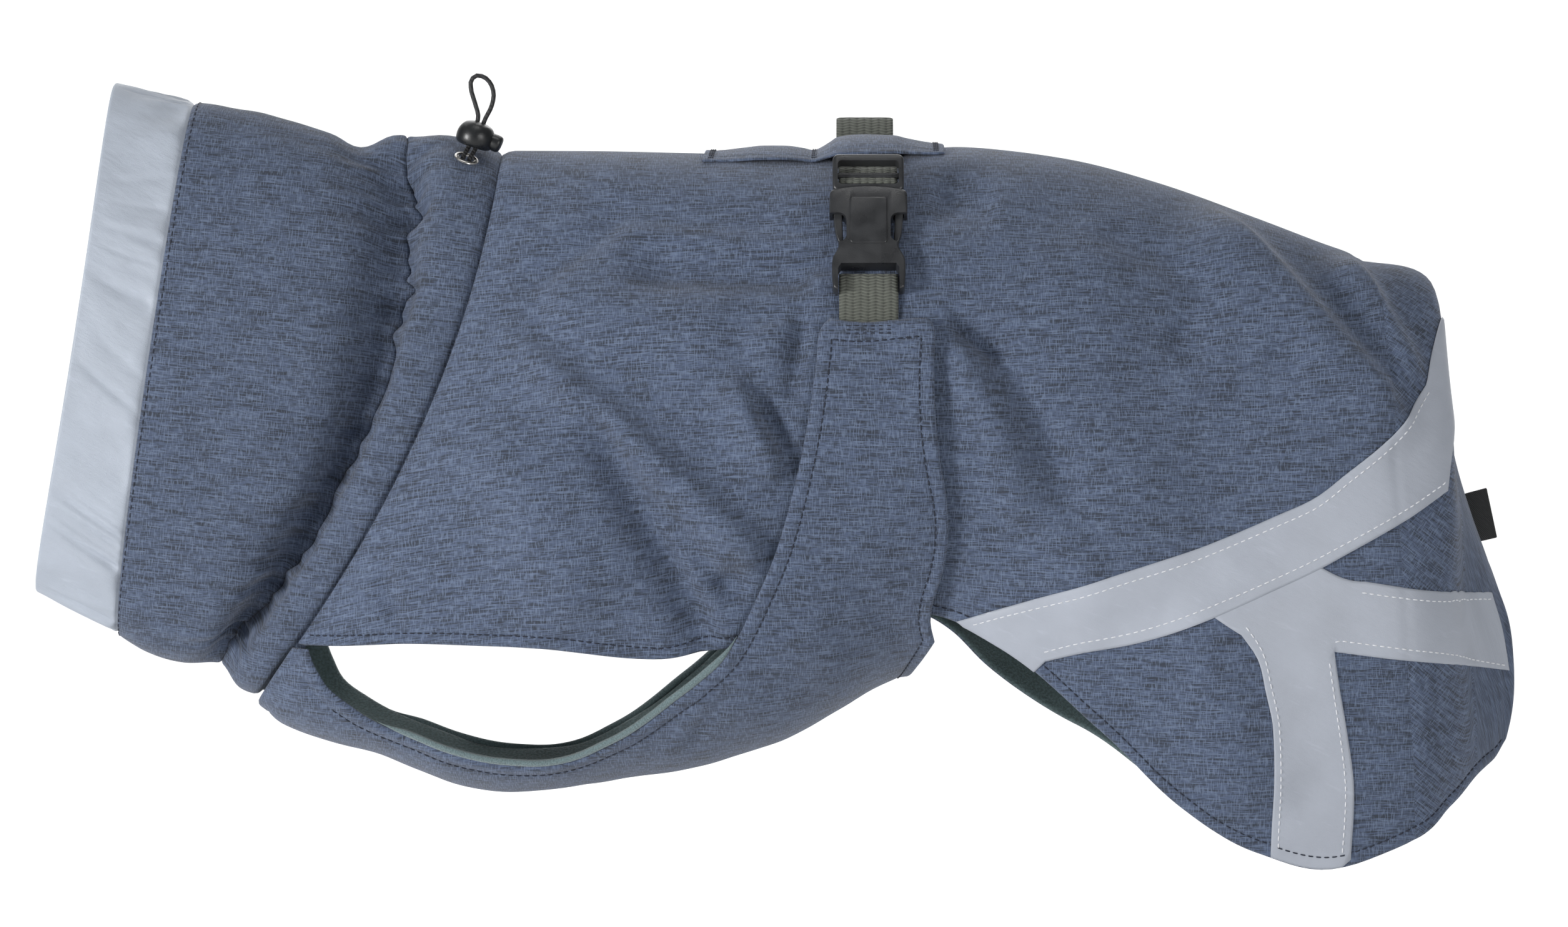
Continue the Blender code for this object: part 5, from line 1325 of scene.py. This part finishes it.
def make_studio():
    for light in LIGHTS:
        area_light(*light)
    world = bpy.data.worlds.new("studio")
    world.use_nodes = True
    world.node_tree.nodes["Background"].inputs["Color"].default_value = (0.95, 0.98, 1.0, 1.0)
    world.node_tree.nodes["Background"].inputs["Strength"].default_value = AMBIENT
    bpy.context.scene.world = world
    bpy.context.scene.view_settings.view_transform = "Standard"
    look, tree, shader = new_look("floor_paint", (0.93, 0.93, 0.93), 0.9)
    coords = add(tree, "TexCoord").outputs["Object"]
    cloud = add(tree, "TexNoise", {"Vector": coords, "Scale": 0.6, "Detail": 2.0}).outputs["Fac"]
    tree.links.new(mixed(tree, cloud, (0.91, 0.91, 0.91), (0.95, 0.95, 0.95)), shader.inputs["Base Color"])
    profile = [(-12.0, 0.0), (3.2, 0.0)]
    profile += [(3.2 + 1.5 * math.sin(t), 1.5 - 1.5 * math.cos(t)) for t in np.linspace(0, math.pi / 2, 16)[1:]]
    profile += [(4.7, 9.0)]
    points = [(x, y, FLOOR_Z + z) for y, z in profile for x in (-12.0, 12.0)]
    mesh = bpy.data.meshes.new("floor")
    mesh.from_pydata(points, [], [(2 * k, 2 * k + 1, 2 * k + 3, 2 * k + 2) for k in range(len(profile) - 1)])
    mesh.materials.append(look)
    mesh.shade_smooth()
    floor = bpy.data.objects.new("floor", mesh)
    bpy.context.scene.collection.objects.link(floor)


def put(piece, slot, *nodes):
    """Rides a piece on the one body and hides the solids that it stands for; the slot is not used."""
    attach(piece, "root")
    if nodes:
        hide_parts(*nodes)
    return piece


def plain_cut(sections, along, angle):
    """A cut's width round, length and area in metres, read from the plain form under the folds."""
    point = sections.plain(along, angle)
    first = np.cross(point[1:, :-1] - point[:-1, :-1], point[:-1, 1:] - point[:-1, :-1])
    second = np.cross(point[1:, :-1] - point[1:, 1:], point[:-1, 1:] - point[1:, 1:])
    area = (np.linalg.norm(first, axis=-1).sum() + np.linalg.norm(second, axis=-1).sum()) / 2
    return run_lengths(point, 1)[:, -1].max() * MM, run_lengths(point, 0)[-1].max() * MM, area * MM * MM


def ring_cut(start, end, drawn_in=0.0):
    """The flat cut of a stretch of the collar, all round, with the length drawn into the crease."""
    turns = np.linspace(-math.pi, math.pi, 240)
    width, length, area = plain_cut(COLLAR, *np.meshgrid(np.linspace(start, end, 60), turns, indexing="ij"))
    whole = length + drawn_in * MM
    return width, whole, area * whole / length


def panel_cut(start, end, side):
    """The flat cut of a side panel, spine to hem."""
    along, share = np.meshgrid(np.linspace(start, end, 160), np.linspace(0, 1, 120), indexing="ij")
    return plain_cut(BODY, along, side * hem_end(along, side) * share)


def belly_cut(outline):
    """The flat cut of the belly panel, from strap end to strap end."""
    places, faces, _ = patch(outline, 5.0)
    corner = BODY.plain(places[:, 0], places[:, 1] / FLAT_SCALE)[np.array(faces)]
    area = np.linalg.norm(np.cross(corner[:, 1] - corner[:, 0], corner[:, 2] - corner[:, 0]), axis=1).sum() / 2
    tip = outline[np.argmin(outline[:, 1])]
    turn = np.linspace(tip[1], 2 * math.pi * FLAT_SCALE - tip[1], 300) / FLAT_SCALE
    width = run_lengths(BODY.plain(np.full(300, tip[0]), turn), 0)[-1]
    along = np.linspace(outline[:, 0].min(), outline[:, 0].max(), 300)
    length = run_lengths(BODY.plain(along, np.full(300, math.pi)), 0)[-1]
    return float(width) * MM, float(length) * MM, area * MM * MM


def main():
    make_camera()
    make_studio()
    # The collar's heather is the shell's cloth with painted shade, every colour times 0.88.
    shell, collar_painted_shade = heather("heather_shell"), heather("heather_collar_painted_shade", math.radians(5), 0.88)
    shell_gore = heather("heather_gore", math.radians(38))
    lining, roll_look = fleece("lining", LINING_COLOUR), fleece("lining_edge", ROLL_COLOUR, 1400.0)
    tape, band_tape = tape_look("reflective_tape", TAPE_COLOUR), tape_look("reflective_band", BAND_COLOUR, 0.0007)
    webbing, steel = webbing_look(), steel_look()
    plastic, lock = plastic_look("buckle_plastic", PLASTIC_COLOUR), plastic_look("lock_plastic", LOCK_COLOUR)
    cord_black, label_black = cord_look("cord_black", (0.012, 0.012, 0.013), 260.0), cord_look("label_black", (0.01, 0.01, 0.011), 700.0)
    dark_thread, pale_thread = thread_look("navy_thread", (0.012, 0.016, 0.03)), thread_look("white_thread", (0.7, 0.71, 0.74))

    rings = COLLAR.knots
    band = put(collar_ring("neck_band", rings[0], rings[BAND_SEAM_RING], BAND_WALL, [band_tape, lining], 640, BAND_LAP),
               "reflective_tape", "collar_band")
    collar = put(collar_ring("collar_cloth", rings[BAND_SEAM_RING], rings[CREASE_RING], WALL, [collar_painted_shade, lining], 420), "shell_fabric", "collar")
    channel = put(collar_ring("channel_cloth", rings[CREASE_RING], rings[NECK_RING], WALL, [collar_painted_shade, lining], 460, NECK_LAP),
                  "shell_fabric", "cord_channel")

    stripe_cut, branch_cut = tape_outlines()
    outline, front = belly_outline()
    belly = put(lay("belly_cloth", belly_skin, BODY, outline, 2.3, STRAP_WALL, 0.0, 1, [shell, lining],
                    rings=(0.8, 1.8, 4.8, 5.8, 6.8), groove=HEM_STITCH), "shell_fabric", "belly_panel")
    white_runs, dark_runs, panels, tapes, rolls = [], [], {}, {}, {}
    leg_tape = locate(BODY.plain, [BRANCH_LEG_FRONT[0], BRANCH_LEG_BACK[-1]])[:, 0]
    for side, word in ((1, "left"), (-1, "right")):
        panels["body_" + word] = put(side_panel("body_cloth_" + word, 0.0, GORE_ALONG, 150, side, [shell, lining], False),
                                     "shell_fabric", "body_" + word)
        panels["gore_" + word] = put(side_panel("gore_cloth_" + word, GORE_ALONG, REAR_ALONG, 36, side, [shell_gore, lining], True),
                                     "shell_fabric", "rump_gore_" + word)
        for kind, (shape, sewn), shown in (("stripe", stripe_cut, STRIPE_SHOWN), ("stripe_branch", branch_cut, BRANCH_SHOWN)):
            piece = lay(kind + "_tape_" + word, body_skin, BODY, shape, 2.0, shown, shown + 0.12, side, [tape, tape],
                        rings=(0.6,))
            tapes[kind + word] = put(piece, "reflective_tape", kind + "_" + word)
            keep = along_edges(sewn, TAPE_STITCH)
            white_runs += broken(outline_line(body_skin, shape, TAPE_STITCH, side, shown + 0.12, keep))
        rolls[word] = put(lining_roll("lining_edge_" + word, front, side, roll_look), "lining", "belly_lining_roll_" + word)
        hem_along = np.linspace(2.0, REAR_ALONG - 1.0, 400)
        hem_turn = hem_end(hem_along, side)
        pace = np.linalg.norm(BODY.plain(hem_along, hem_turn) - BODY.plain(hem_along, hem_turn - 0.06), axis=-1) / 0.06
        hem_turn = side * (hem_turn - HEM_STITCH / pace)
        dark_runs.append(line_on(body_skin, hem_along, hem_turn, -0.25))
        on_leg = (hem_along > leg_tape.min()) & (hem_along < leg_tape.max())
        dark_runs.append(line_on(body_skin, hem_along[on_leg], hem_turn[on_leg], BRANCH_SHOWN + 0.12))
        dark_runs += broken(outline_line(belly_skin, outline, HEM_STITCH, side, -0.25, on_near_front))
        for z in STRAP_TACKS:
            tack = locate(belly_surface, [(x, z) for x in np.linspace(78.5, 98.5, 12)])
            dark_runs.append(line_on(belly_skin, tack[:, 0], side * tack[:, 1], -0.1))
        put(strap("webbing_low_shown_" + word, WEBBING_LOW_PATH, side, webbing), "webbing", "webbing_low_" + word)
        plug, socket = buckle(side, word, plastic)
        put(plug, "plastic", "buckle_plug_" + word)
        put(socket, "plastic", "buckle_socket_" + word)
    put(strap("webbing_top_shown", WEBBING_TOP_PATH, 1, webbing), "webbing", "webbing_top")
    strip, strip_cut, tacks = spine_loop([shell, shell])
    put(strip, "shell_fabric", "spine_loop")
    dark_runs += tacks

    around = np.linspace(-math.pi, math.pi, 700)
    dark_runs.append(line_on(collar_skin, np.full(700, rings[BAND_SEAM_RING] + 2.0), around, -0.05))
    put(stitches("white_stitches", white_runs, pale_thread, 2.3, 0.9, 0.26), "reflective_tape")
    put(stitches("navy_stitches", dark_runs, dark_thread, 2.4, 0.9, 0.3), "shell_fabric")

    put(turned("toggle_shown", TOGGLE_PROFILE, TOGGLE_CENTRE, TOGGLE_AXIS, 48, lock), "plastic", "toggle")
    put(turned("button_shown", BUTTON_PROFILE, BUTTON_CENTRE, BUTTON_AXIS, 40, lock), "plastic", "toggle_button")
    put(turned("eyelet_shown", EYELET_PROFILE, EYELET_CENTRE, EYELET_AXIS, 40, steel), "steel", "eyelet")
    route = (smooth_path(CORD_ROUTE, CORD_SPACING) - ORIGIN) * MM
    curve = bpy.data.curves.new("free_cord", "CURVE")
    curve.dimensions, curve.bevel_depth, curve.bevel_resolution, curve.use_fill_caps = "3D", CORD_RADIUS * 0.95 * MM, 5, True
    spline = curve.splines.new("POLY")
    spline.points.add(len(route) - 1)
    for spot, point in zip(spline.points, route):
        spot.co = (*point, 1.0)
    curve.materials.append(cord_black)
    cord = bpy.data.objects.new("free_cord", curve)
    bpy.context.scene.collection.objects.link(cord)
    put(cord, "black_cloth", "drawcord")

    tab = [(340.6, -144.0), (350.0, -141.5), (354.5, -162.5), (345.9, -164.5)]
    points = [(x, y, z) for y in (-0.7, 0.7) for x, z in tab]
    faces = [(0, 3, 2, 1), (4, 5, 6, 7)] + [(k, (k + 1) % 4, 4 + (k + 1) % 4, 4 + k) for k in range(4)]
    label = make_object("label_shown", points, faces, [label_black])
    step = label.modifiers.new("round", "BEVEL")
    step.width, step.segments = 0.55 * MM, 3
    settle(label, [])
    put(label, "black_cloth", "label")

    ring_cut(rings[0], rings[BAND_SEAM_RING])
    ring_cut(rings[BAND_SEAM_RING], rings[CREASE_RING], CREASE_MORE)
    ring_cut(rings[CREASE_RING], rings[NECK_RING], CREASE_MORE)
    belly_cut(outline)
    for side, word in ((1, "left"), (-1, "right")):
        panel_cut(0.0, GORE_ALONG, side)
        panel_cut(GORE_ALONG, REAR_ALONG, side)


main()
